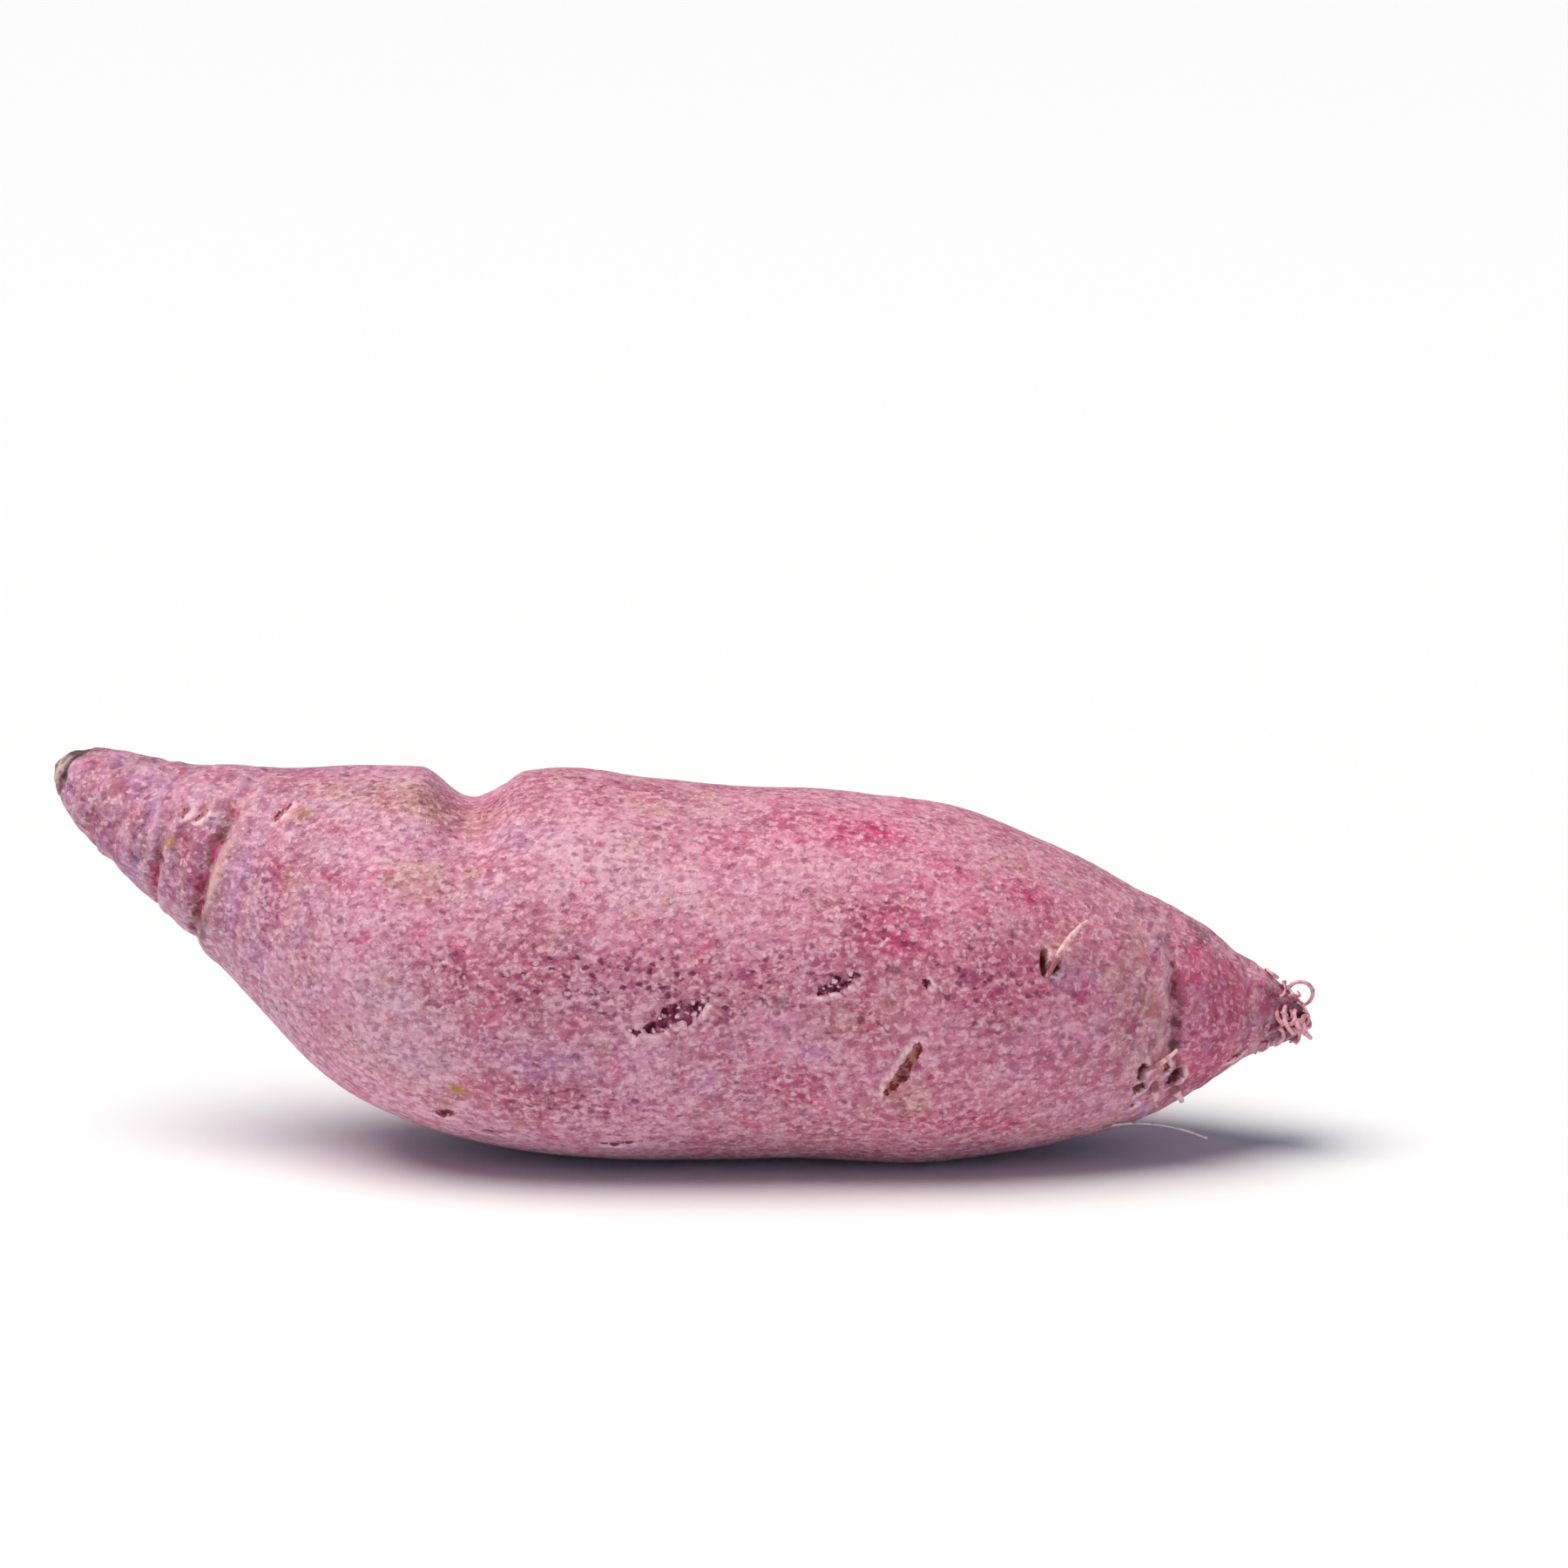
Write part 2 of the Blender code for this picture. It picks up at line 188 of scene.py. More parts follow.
# Root scars: x, angle, length, width, depth, how steeply each rises towards +X, and how ragged it is.
SCARS = (
    (-0.5, 89.2, 11.8, 3.2, 0.8, 25, 0.7),
    (-6.5, 94.8, 2.4, 0.7, 0.3, -20, 0.1),
    (22.7, 79.2, 7.4, 1.9, 0.6, 31, 0.7),
    (33.7, 104.6, 11.4, 1.9, 0.8, 246, 0.25),
    (35.4, 77, 1.9, 1.5, 0.3, 80, 0.7),
    (53.5, 64.4, 4.6, 1.1, 1.5, 94, 0),
    (55.3, 66.2, 2.4, 1.4, 1.1, 40, 0.1),
    (71.2, 108.6, 3, 1.2, 1.3, 76, 0),
    (71.3, 117.4, 2, 1.6, 1.4, 20, 0),
    (76.4, 120.2, 3.6, 2, 1.4, 52, 0.1),
    (75, 111, 2, 1.1, 0.8, 60, 0),
    (70.3, 120.5, 1.5, 0.9, 0.5, 70, 0),
    (70.4, 129, 1.5, 0.8, 0.4, 60, 0),
    (87.5, 126.8, 2, 0.9, 0.5, 10, 0.2),
    (-65.8, 43.7, 4.4, 0.9, 0.5, 70, 0.15),
    (-79, 57.5, 2.4, 0.8, 0.4, 78, 0.1),
    (-76.8, 57, 2.8, 0.8, 0.4, 66, 0.1),
    (-32.2, 131.4, 2.8, 1.8, 0.6, 30, 0.5),
    (-26.7, 137.2, 3.8, 1, 0.4, 6, 0.5),
    (-9.2, 136.6, 5.5, 1.1, 0.4, 8, 0.5),
    (-30, 226, 9, 2, 1, -62, 0.6),
    (12, 262, 11, 2.2, 1, -35, 0.8),
    (48, 238, 7, 1.7, 1, 72, 0.3),
    (-12, 318, 6.5, 1.6, 0.9, 80, 0.4),
    (30, 345, 8, 1.6, 0.8, -75, 0.4),
    (68, 300, 5.5, 1.6, 0.9, 65, 0.2),
)
# The noise that makes a scar's edge wander and its floor lumpy: its period and seed.
SCAR_EDGE = (1.6, 11.0)
SCAR_LUMPS = (1.1, 17.0)
# How far the edge of a fully ragged scar wanders, in its widths, and how blunt its ends are.
EDGE_WANDER = 0.5
SCAR_TAPER = 0.6
# A scar's wall lies between these distances inside its edge.
SCAR_WALL = (-0.3, 0.5)
# The floor's depth as a share of the scar's, and the share that lumps add or take where it is ragged.
FLOOR_SHARE = 0.8
LUMP_SHARE = 0.7
# The skin swells round a scar, over an oval this much longer and wider, by this share of its depth. The
# mask of how ragged it is reaches this many times as far.
SWELL_LONGER = 2.4
SWELL_WIDER = 2.8
SWELL_SHARE = 0.35
TORN_REACH = 1.3
# Half of a scar's mask falls away over this distance from its edge, for the material to cut crisply.
SCAR_SOFT = 0.8
# How much lower the mask of a fully ragged scar is, which leaves its floor to the material's pits.
TORN_AWAY = 0.1
# A scar's floor gets painted shade from the first of these depths, and is darkest from the second.
DEEP_SHADE_FROM = (0.9, 1.2)
# The pale rim, a painted highlight, grows and fades between these distances outside a scar's edge. It lies
# on one side only, and grows from the first to the second of these widths across the scar.
RIM_GROWS = (0.0, 0.3)
RIM_FADES = (0.48, 1.2)
RIM_SIDE = (-0.3, 0.4)

# Small round pits of old lenticels: how many, between which x, their radius and depth, how far each is
# drawn out along the root, and the seed that places them.
PIT_COUNT = 90
PIT_ALONG = (-97.0, 92.0)
PIT_RADIUS = (0.5, 1.1)
PIT_DEPTH = (0.15, 0.4)
PIT_STRETCH = (0.7, 1.5)
PIT_SEED = 5
# The lip round a pit: how many radii out it lies, and its height as a share of the depth.
PIT_LIP_AWAY = 1.5
PIT_LIP_HEIGHT = 0.3

# The pimpled grain of the skin, as waves with a period along each axis. It has the first of these shares
# of its height everywhere, and the second too under the dusky patches, which are partly painted shade.
GRAIN = ((0.10, (2.4, 1.5, 1.5), 2.0),)
GRAIN_CALM = 0.6
GRAIN_DUSKY = 0.8
# Fine wrinkles that run round the neck and the tip, as waves along the root and round it in degrees, and
# the bumps between them. They grow between these distances from the root's middle.
WRINKLES = ((0.16, (3.4, 25.0, 1.0), 9.0),)
BUMPS = ((0.26, 2.7, 31.0),)
WORN_MIDDLE = -4.0
WORN_FROM = (55.0, 85.0)
# The neck's colours grow between these distances towards -X, and the tip half's between these x.
NECK_FROM = (44.0, 62.0)
RUDDY_FROM = (-5.0, 35.0)

# The cork over the stem scar: the x where it meets the skin, how that line wanders, how far the cork's
# edge fades, the groove there, and the cork's roughness.
CORK_TO = -99.8
CORK_WANDER = ((0.7, 3.0, 27.0),)
CORK_EDGE = (-0.3, 0.3)
SEAM_HALF_WIDTH = 0.7
SEAM_DEPTH = 0.35
CORK_ROUGHNESS = ((0.45, 1.9, 23.0),)

# Soft patches of colour: x, angle, half length, half span in degrees, strength.
BLUSH_PATCHES = (
    (30.2, 62.4, 9.4, 13, 0.9),
    (23.6, 27, 10.2, 14, 0.85),
    (50, 42, 9.5, 15, 0.6),
    (-63.8, 74, 3.3, 12, 0.9),
    (-54.6, 67.6, 3.8, 6, 0.9),
    (-75.2, 84, 3.4, 28, 1),
    (-77.6, 66, 2.2, 14, 0.8),
    (-16.2, 62.4, 5.2, 7, 0.5),
    (46.5, 74.3, 11.6, 17, 0.65),
    (45, 124.4, 15.1, 7, 0.5),
    (84.5, 76, 10.5, 66, 0.85),
    (83, 122, 9, 36, 1),
    (56, 100, 9, 16, 0.5),
    (16.2, 112.3, 6.8, 9, 0.6),
    (-17.5, 20.6, 5.5, 5, 0.5),
    (-72.5, 126.5, 1.6, 15, 0.5),
    (41.7, 52.1, 4.1, 8, 0.4),
    (-92.5, 44.6, 4.1, 19, 0.4),
    (-3.3, 68.1, 12.3, 10, 0.3),
    (8, 38, 12, 14, 0.35),
    (-68, 350, 9, 25, 0.5),
    (42, 84, 46, 62, 0.22),
    (10, 290, 22, 30, 0.6),
    (-44, 250, 14, 30, 0.5),
    (60, 250, 16, 35, 0.5),
    (38, 188, 18, 24, 0.35),
)
TAN_PATCHES = (
    (-53, 26, 15.8, 14, 0.95),
    (-45, 60, 5.4, 9, 0.8),
    (-40.5, 98, 7.5, 13, 0.6),
    (25.9, 89.2, 8.5, 13, 0.7),
    (68.7, 71.1, 5.4, 45, 0.8),
    (51, 27.9, 12.3, 7, 0.6),
    (36.2, 114.7, 5.8, 11, 0.55),
    (4.9, 57.3, 8.2, 5, 0.3),
    (-54.5, 104, 4.1, 13, 0.35),
    (-84.5, 106, 2.5, 21, 0.4),
    (-74, 46.8, 5, 11, 0.9),
    (-70, 98, 1.1, 52, 0.75),
    (-39.5, 118, 9.8, 11, 0.55),
    (-3.4, 22.1, 11, 4, 0.3),
    (89.8, 98.8, 4.1, 18, 0.5),
    (-20, 200, 26, 34, 0.5),
    (20, 330, 16, 22, 0.5),
    (-60, 290, 14, 34, 0.5),
)
LILAC_PATCHES = (
    (-30.4, 37.6, 7.1, 10, 0.8),
    (-87, 39.1, 6.2, 20, 0.9),
    (-85.5, 121.8, 3.3, 18, 0.8),
    (-40.3, 98.3, 7.6, 14, 0.7),
    (-38, 114, 9, 9, 0.5),
    (54.4, 97.5, 8.5, 14, 0.6),
    (-18.4, 103.5, 12.3, 9, 0.5),
    (77.2, 45.3, 2.2, 10, 0.5),
    (-67.4, 96, 1.9, 30, 0.7),
    (-78.4, 108, 1.6, 26, 0.7),
    (10.2, 48.9, 9.6, 8, 0.35),
    (-60.9, 113.5, 4.1, 11, 0.4),
    (80.6, 91.4, 4.1, 13, 0.4),
    (20.5, 98.4, 5.5, 8, 0.3),
    (-10, 300, 18, 24, 0.5),
    (38, 212, 14, 22, 0.4),
)
# Dusky patches: partly the skin's own plum, partly painted shade low on the front and a painted shadow along
# the top.
DUSK_AND_SHADE_PATCHES = (
    (-8, 80, 27, 14, 1),
    (-52, 24, 14, 13, 0.35),
    (-37, 84.6, 9, 12, 0.55),
    (13.9, 77.7, 15.1, 13, 0.8),
    (45.2, 74.7, 13.7, 20, 0.7),
    (-90, 100.3, 12, 50, 1),
    (-76.5, 92, 5, 44, 1),
    # A painted shadow along the top.
    (-13.5, 11, 15.1, 5, 0.6),
    (-76, 115.4, 2.7, 24, 0.6),
    (-62, 88.7, 3.6, 15, 0.5),
    (28.6, 60, 9.6, 14, 0.62),
    # Painted shade low on the front, here and in the next row.
    (-12, 120, 18, 11, 0.5),
    (14, 113, 12, 12, 0.45),
    (25, 89, 8, 10, 0.4),
    # Painted shade low on the front.
    (38, 122, 15, 10, 0.35),
    (83.5, 106, 6, 15, 0.8),
    (85, 92, 9.5, 80, 0.45),
    # A painted shadow along the top.
    (8.6, 359.6, 12.3, 4, 0.6),
    (0, 240, 30, 34, 0.7),
    (-60, 220, 18, 34, 0.4),
    (50, 300, 20, 26, 0.5),
)
# Pale bloom: painted highlight on the upper front and the neck's top, and pale patches elsewhere.
BLOOM_AND_HIGHLIGHT_PATCHES = (
    (-12, 46, 22, 18, 0.7),
    (16, 44, 16, 14, 0.4),
    (-90.3, 30.6, 9, 26, 0.7),
    (-39, 96, 10, 13, 0.8),
    (-37.4, 112, 11, 12, 0.7),
    (-30, 300, 20, 30, 0.5),
    (30, 250, 20, 26, 0.4),
)
OCHRE_SPOTS = (
    (-31, 118.6, 1.7, 3.4, 0.95),
    (-32.2, 127, 1.4, 5.5, 0.7),
    (-79.6, 81.3, 1.3, 8, 1),
    (-63, 42.8, 1.7, 4.5, 0.9),
    (-60.4, 25.7, 1.9, 4, 0.4),
    (-60.9, 75, 1.9, 8, 0.4),
    (72.8, 80.5, 1.1, 10, 0.4),
    (33.8, 100, 1.2, 3, 0.6),
)
# Dark patches: dark old skin on the upper edge of the stem end, and painted shade on the root tip under its
# tangle.
DARK_END_AND_SHADE_PATCHES = (
    (-100.4, 10, 2.6, 46, 1),
    (-70.6, 122, 1, 16, 0.7),
    # Painted shade on the root tip under its tangle, in this row and the two after it.
    (98.6, 80, 8.2, 90, 1),
    (98.6, 200, 6.6, 90, 0.9),
    (98.8, 320, 6.6, 90, 0.9),
)
# The waves that break up the edges of the patches, and how far out each patch fades, in its own half
# sizes.
PATCH_BREAKS = ((0.28, 7.0, 0.0), (0.16, 2.5, 5.0))
PATCH_FADE = (0.25, 1.1)
# The seed of the dusky patches, partly painted shade, and the rows and seed of each other mask of patches.
DUSK_AND_SHADE_SEED = 41.0
PATCH_MASKS = {
    "bloom_and_highlight": (BLOOM_AND_HIGHLIGHT_PATCHES, 61.0),
    "dark_end_and_shade": (DARK_END_AND_SHADE_PATCHES, 51.0),
    "blush": (BLUSH_PATCHES, 13.0),
    "tan": (TAN_PATCHES, 19.0),
    "lilac": (LILAC_PATCHES, 29.0),
    "ochre": (OCHRE_SPOTS, 37.0),
}

# Single rootlets: x, angle, length, radius at the base, in the middle and at the end, lean from upright,
# heading downhill from +X, bend back to the skin, and sweep.
ROOTLETS = (
    (54.4, 67, 10.5, 0.26, 0.86, 0.22, 72, -78, 26, -34),
    (72.4, 107.2, 5, 0.40, 0.44, 0.24, 64, -30, 30, 10),
    (73.2, 120, 3.4, 0.80, 0.62, 0.34, 45, 100, 20, 10),
    (77, 130, 2.9, 0.75, 0.66, 0.40, 42, 60, 30, -10),
    (48.4, 236, 6, 0.40, 0.50, 0.22, 55, 110, 35, -20),
    (-30.4, 224, 5, 0.40, 0.50, 0.22, 58, 160, 30, 25),
    (67.6, 299, 5.5, 0.40, 0.50, 0.22, 55, -40, 40, 20),
)
# The long thin hair under the tip, as a row of the same kind.
HAIRS = ((67.4, 143.0, 16.2, 0.22, 0.28, 0.18, 84.0, 3.0, -38.0, 0.0),)
# A rootlet's joints, how deep it starts in the skin, and how gnarled it is: by what share of its radius,
# and how often.
ROOTLET_JOINTS = 16
ROOTLET_SUNK = 1.2
ROOTLET_GNARL = 0.22
GNARL_SCALE = 1.4

# The tangle round the root tip, in rows of the same kind: one loop over its top and thick curls on its
# front. The short curls that lie close to the skin are a seeded draw within the limits that follow.
TIP_LOOP = (95.4, 12.0, 9.6, 0.28, 0.44, 0.26, 25.0, 180.0, -250.0, 8.0)
TIP_CURLS = (
    (98.8, 50.0, 5.6, 0.36, 0.48, 0.36, 70.0, 160.0, 20.0, 150.0),
    (97.0, 50.0, 6.4, 0.36, 0.46, 0.34, 66.0, 150.0, 20.0, 140.0),
    (97.2, 110.0, 5.2, 0.34, 0.42, 0.32, 74.0, -20.0, 10.0, 210.0),
    (95.2, 58.0, 6.4, 0.32, 0.42, 0.30, 68.0, 150.0, 20.0, 130.0),
    (95.4, 112.0, 5.6, 0.32, 0.42, 0.30, 70.0, -60.0, 20.0, -190.0),
    (93.6, 70.0, 6.0, 0.30, 0.40, 0.28, 72.0, 130.0, 16.0, 210.0),
    (93.4, 104.0, 5.6, 0.30, 0.40, 0.28, 74.0, -40.0, 10.0, -240.0),
)
CURL_COUNT = 26
CURL_FROM = 92.4
CURL_TO = 99.2
CURL_LENGTH = (3.2, 5.4)
# A curl's radius, and that at its base and at its end as shares of it.
CURL_RADIUS = (0.24, 0.36)
CURL_BASE = 0.9
CURL_END = 0.6
CURL_LEAN = (78.0, 88.0)
CURL_HEADING = (-60.0, 60.0)
CURL_BEND = (0.0, 14.0)
CURL_SWEEP = (140.0, 300.0)
CURL_SEED = 11
# Neighbouring curls stand about this many degrees from each other round the tip, to spread evenly.
GOLDEN_ANGLE = 137.5
CURL_ASIDE = (-15.0, 15.0)

ROWS = np.array(SECTIONS)
# How far along the root's line each section lies, and how the sections change there.
KNOTS = np.concatenate(([0.0], np.cumsum(np.linalg.norm(np.diff(ROWS, axis=0), axis=1))))
SLOPES = np.array(
    [
        (ROWS[min(i + 1, len(ROWS) - 1)] - ROWS[max(i - 1, 0)])
        / (KNOTS[min(i + 1, len(ROWS) - 1)] - KNOTS[max(i - 1, 0)])
        for i in range(len(ROWS))
    ]
)


def sections_at(along):
    """The middle (x, y, z) and half height at each distance along the root."""
    along = np.clip(along, 0.0, KNOTS[-1])
    i = np.clip(np.searchsorted(KNOTS, along, side="right") - 1, 0, len(KNOTS) - 2)
    span = (KNOTS[i + 1] - KNOTS[i])[:, None]
    t = (along - KNOTS[i])[:, None] / span
    return (
        ROWS[i] * (2 * t**3 - 3 * t**2 + 1)
        + SLOPES[i] * span * (t**3 - 2 * t**2 + t)
        + ROWS[i + 1] * (-2 * t**3 + 3 * t**2)
        + SLOPES[i + 1] * span * (t**3 - t**2)
    )


def unit(vectors):
    """Each vector with its length made 1."""
    return vectors / np.linalg.norm(vectors, axis=-1, keepdims=True)


def frames_at(along):
    """The root's headings, ups and fronts at each distance along it."""
    ahead = sections_at(along + HEADING_REACH)[:, :3] - sections_at(along - HEADING_REACH)[:, :3]
    heading = unit(ahead)
    up = unit(np.array((0.0, 0.0, 1.0)) - heading * heading[:, 2:])
    return heading, up, np.cross(heading, up)


def bell(distance):
    """A soft bell: 1 in the middle, 0 from 1 outwards."""
    return np.where(np.abs(distance) < 1, (1 - distance**2) ** 2, 0.0)


def ease(value, low, high):
    """0 below low, 1 above high, and a smooth step between."""
    t = np.clip((value - low) / (high - low), 0, 1)
    return t * t * (3 - 2 * t)


def turn_between(angle, other):
    """The difference between angles, from -180 to 180 degrees."""
    return (angle - other + 180) % 360 - 180


def noise_at(places, period, seed=0.0):
    """Blender's noise at each place, from about -1 to 1. The period is one number or one for each axis."""
    shifted = places / np.array(period) + seed
    return np.array([noise.noise(place) for place in shifted])


def waves_at(places, waves, seed=0.0):
    """The sum of waves of noise at each place. The seed is added to each wave's own."""
    return sum(height * noise_at(places, period, seed + own) for height, period, own in waves)


def pull_root():
    """The root's cage: a ring pulled along its line, turned and resized as it goes, then subdivided."""
    along = np.linspace(0.0, KNOTS[-1], CAGE_RINGS + 1)
    middles = sections_at(along)
    headings, _, _ = frames_at(along)
    pitch = np.arcsin(headings[:, 2])
    yaw = np.arctan2(headings[:, 1], headings[:, 0])
    first = middles[0]
    bpy.ops.object.select_all(action="DESELECT")
    bpy.ops.mesh.primitive_circle_add(
        vertices=CAGE_SIDES,
        radius=first[3] * CAGE_SWELL,
        fill_type="NGON",
        location=first[:3],
        rotation=(0, math.radians(90), 0),
    )
    root = bpy.context.object
    root.name = "tuber_skin"
    bpy.ops.object.transform_apply(location=True, rotation=True, scale=True)
    bpy.ops.object.mode_set(mode="EDIT")
    bpy.ops.mesh.select_all(action="SELECT")
    bpy.ops.transform.resize(value=(1, WIDTH_TO_HEIGHT, 1), center_override=first[:3])
    turned_pitch, turned_yaw = 0.0, 0.0
    for k in range(CAGE_RINGS + 1):
        middle = middles[k]
        if k:
            step = middle[:3] - middles[k - 1][:3]
            bpy.ops.mesh.extrude_region_move(TRANSFORM_OT_translate={"value": tuple(step)})
            grown = middle[3] / middles[k - 1][3]
            bpy.ops.transform.resize(value=(grown, grown, grown), center_override=middle[:3])
        for turn, axis in ((pitch[k] - turned_pitch, "Y"), (turned_yaw - yaw[k], "Z")):
            bpy.ops.transform.rotate(
                value=turn, orient_axis=axis, orient_type="GLOBAL", center_override=middle[:3]
            )
        turned_pitch, turned_yaw = pitch[k], yaw[k]
    bpy.ops.mesh.select_all(action="SELECT")
    bpy.ops.mesh.normals_make_consistent(inside=False)
    bpy.ops.object.mode_set(mode="OBJECT")
    smooth = root.modifiers.new("smooth", "SUBSURF")
    smooth.levels = smooth.render_levels = CAGE_LEVELS
    bpy.ops.object.modifier_apply(modifier=smooth.name)
    return root


def corners_of(piece):
    """The places of a piece's corners, as rows of x, y, z."""
    places = np.empty(len(piece.data.vertices) * 3)
    piece.data.vertices.foreach_get("co", places)
    return places.reshape(-1, 3)


def move_corners(piece, places):
    """Puts a piece's corners at new places."""
    piece.data.vertices.foreach_set("co", places.ravel())
    piece.data.update()


def outward_of(piece):
    """The outward direction at each corner."""
    outward = np.empty(len(piece.data.vertices) * 3, dtype=np.float32)
    piece.data.vertex_normals.foreach_get("vector", outward)
    return outward.reshape(-1, 3).astype(float)


def read_stations(places):
    """Each place's station on the root: its x on the root's line, its angle, and the radius there."""
    along = np.linspace(0.0, KNOTS[-1], STATION_COUNT)
    middles = sections_at(along)
    _, ups, fronts = frames_at(along)
    x, angle, radius = (np.empty(len(places)) for _ in range(3))
    for start in range(0, len(places), BATCH):
        batch = slice(start, start + BATCH)
        some = places[batch]
        apart = ((some[:, None, :] - middles[None, :, :3]) ** 2).sum(axis=2)
        near = apart.argmin(axis=1)
        out = some - middles[near, :3]
        x[batch] = middles[near, 0]
        radius[batch] = middles[near, 3]
        to_front, to_top = (out * fronts[near]).sum(axis=1), (out * ups[near]).sum(axis=1)
        angle[batch] = np.degrees(np.arctan2(to_front, to_top))
    return x, angle % 360, radius


def soft_form(places, x, angle, radius):
    """The soft forms that the CAD model has too: swellings, waves round the girth, hollows and bulges."""
    turn = np.radians(angle)
    wave = sum(share * np.cos(count * (turn - math.radians(start))) for count, share, start in GIRTH_WAVES)
    relief = np.minimum(1.0, radius / FADE_RADIUS) * (radius * wave + waves_at(places, SWELLINGS))
    for rows, ahead in ((HOLLOWS, x), (SADDLE, places[:, 0])):
        for centre, middle, half_length, half_span, height in rows:
            reach = bell((ahead - centre) / half_length) * bell(turn_between(angle, middle) / half_span)
            relief += height * reach
    return relief


def strip_across(off, half_width, strip):
    """A soft strip along a crease. Its middle and its reach are given in half widths."""
    middle, reach = strip
    return bell((off - middle * half_width) / (reach * half_width))


def carve_creases(places, x, angle):
    """The ring creases: their relief, and masks for the dark line, partly painted shade, and the pale lip.
    The lip lies on the side of the root's middle."""
    relief, line, lip = (np.zeros(len(x)) for _ in range(3))
    wander = waves_at(places, CREASE_WANDER)
    ragged = LINE_STRENGTH + waves_at(places, LINE_RAGGED)
    for centre, depth, half_width, middle, half_span, dark in CREASES:
        reach = bell(turn_between(angle, middle) / half_span) ** CREASE_FADE
        side = -1 if centre > 0 else 1
        off = (x + wander - centre) * side
        groove = strip_across(off, half_width, GROOVE)
        cut = np.exp(-np.abs(off) / (CUT_REACH * half_width))
        relief -= depth * reach * (GROOVE_SHARE * groove + CUT_SHARE * cut)
        relief += LIP_HEIGHT * depth * reach * strip_across(off, half_width, RAISED_LIP)
        line = np.maximum(line, dark * reach * strip_across(off, half_width, DARK_LINE) * ragged)
        lip = np.maximum(lip, dark * reach * strip_across(off, half_width, PALE_LINE) * ragged)
    return relief, np.clip(line, 0, 1), np.clip(lip, 0, 1)


def carve_scars(places, x, angle, radius):
    """The root scars: their relief, and masks for the sunk floor, how ragged it is, the painted shade where
    it is deep, and the pale rim, a painted highlight on one side. The floor's mask is a half on its edge, and
    the material breaks a ragged one up into pits."""
    relief, floor, torn, deep_shade, highlight_rim = (np.zeros(len(x)) for _ in range(5))
    edge = noise_at(places, *SCAR_EDGE)
    lumps = noise_at(places, *SCAR_LUMPS)
    for centre, middle, length, width, depth, tilt, ragged in SCARS:
        lengthwise = x - centre
        downhill = np.radians(turn_between(angle, middle)) * radius
        turned = math.radians(tilt)
        run = lengthwise * math.cos(turned) - downhill * math.sin(turned)
        across = lengthwise * math.sin(turned) + downhill * math.cos(turned)
        across = across + EDGE_WANDER * ragged * edge * width
        taper = np.clip(1 - (2 * run / length) ** 2, 0, None)
        past_end = np.maximum(np.abs(run) - length / 2, 0)
        within = width / 2 * taper**SCAR_TAPER - np.abs(across) - past_end
        inside = ease(within, *SCAR_WALL)
        relief -= depth * inside * (FLOOR_SHARE + LUMP_SHARE * lumps * ragged)
        near = np.hypot(2 * run / (length + SWELL_LONGER), 2 * across / (width + SWELL_WIDER))
        relief += SWELL_SHARE * depth * bell(near) * (1 - inside)
        floor = np.maximum(floor, np.clip(0.5 + 0.5 * within / SCAR_SOFT, 0, 1) - TORN_AWAY * ragged)
        torn = np.maximum(torn, ragged * (near < TORN_REACH))
        # Painted shade on the deepest scar floors.
        deep_shade = np.maximum(deep_shade, inside * ease(depth, *DEEP_SHADE_FROM))
        # The pale rim on one side of the scar, a painted highlight.
        beyond = ease(-within, *RIM_GROWS) * (1 - ease(-within, *RIM_FADES))
        highlight_rim = np.maximum(highlight_rim, beyond * ease(across / width, *RIM_SIDE))
    return relief, np.clip(floor, 0, 1), torn, deep_shade, np.clip(highlight_rim, 0, 1)


def dot_pits(x, angle, radius):
    """Small round pits scattered over the skin, and their mask."""
    draw = random.Random(PIT_SEED)
    relief, mask = np.zeros(len(x)), np.zeros(len(x))
    for _ in range(PIT_COUNT):
        centre = draw.uniform(*PIT_ALONG)
        middle = draw.uniform(0, 360)
        size = draw.uniform(*PIT_RADIUS)
        depth = draw.uniform(*PIT_DEPTH)
        stretch = draw.uniform(*PIT_STRETCH)
        off = np.hypot((x - centre) / stretch, np.radians(turn_between(angle, middle)) * radius)
        pit = bell(off / size)
        relief -= depth * pit
        relief += PIT_LIP_HEIGHT * depth * bell((off - PIT_LIP_AWAY * size) / size)
        mask = np.maximum(mask, pit)
    return relief, mask


def roughen_cork(places, x):
    """The cork on the stem scar: its relief, and masks for the cork and for the seam round it."""
    past_cork = x + waves_at(places, CORK_WANDER) - CORK_TO
    cork = 1 - ease(past_cork, *CORK_EDGE)
    seam = bell(past_cork / SEAM_HALF_WIDTH)
    return waves_at(places, CORK_ROUGHNESS) * cork - SEAM_DEPTH * seam, cork, seam


def patches(places, x, angle, rows, seed):
    """A soft mask with patches of colour, their edges broken up by noise."""
    broken = waves_at(places, PATCH_BREAKS, seed)
    mask = np.zeros(len(x))
    for centre, middle, half_length, half_span, strength in rows:
        off = np.hypot((x - centre) / half_length, turn_between(angle, middle) / half_span)
        mask = np.maximum(mask, strength * (1 - ease(off + broken, *PATCH_FADE)))
    return mask


def paint(piece, name, values):
    """Keeps a mask on the piece's corners, for its material to read."""
    layer = piece.data.attributes.new(name, "FLOAT", "POINT")
    layer.data.foreach_set("value", values.astype(np.float32))


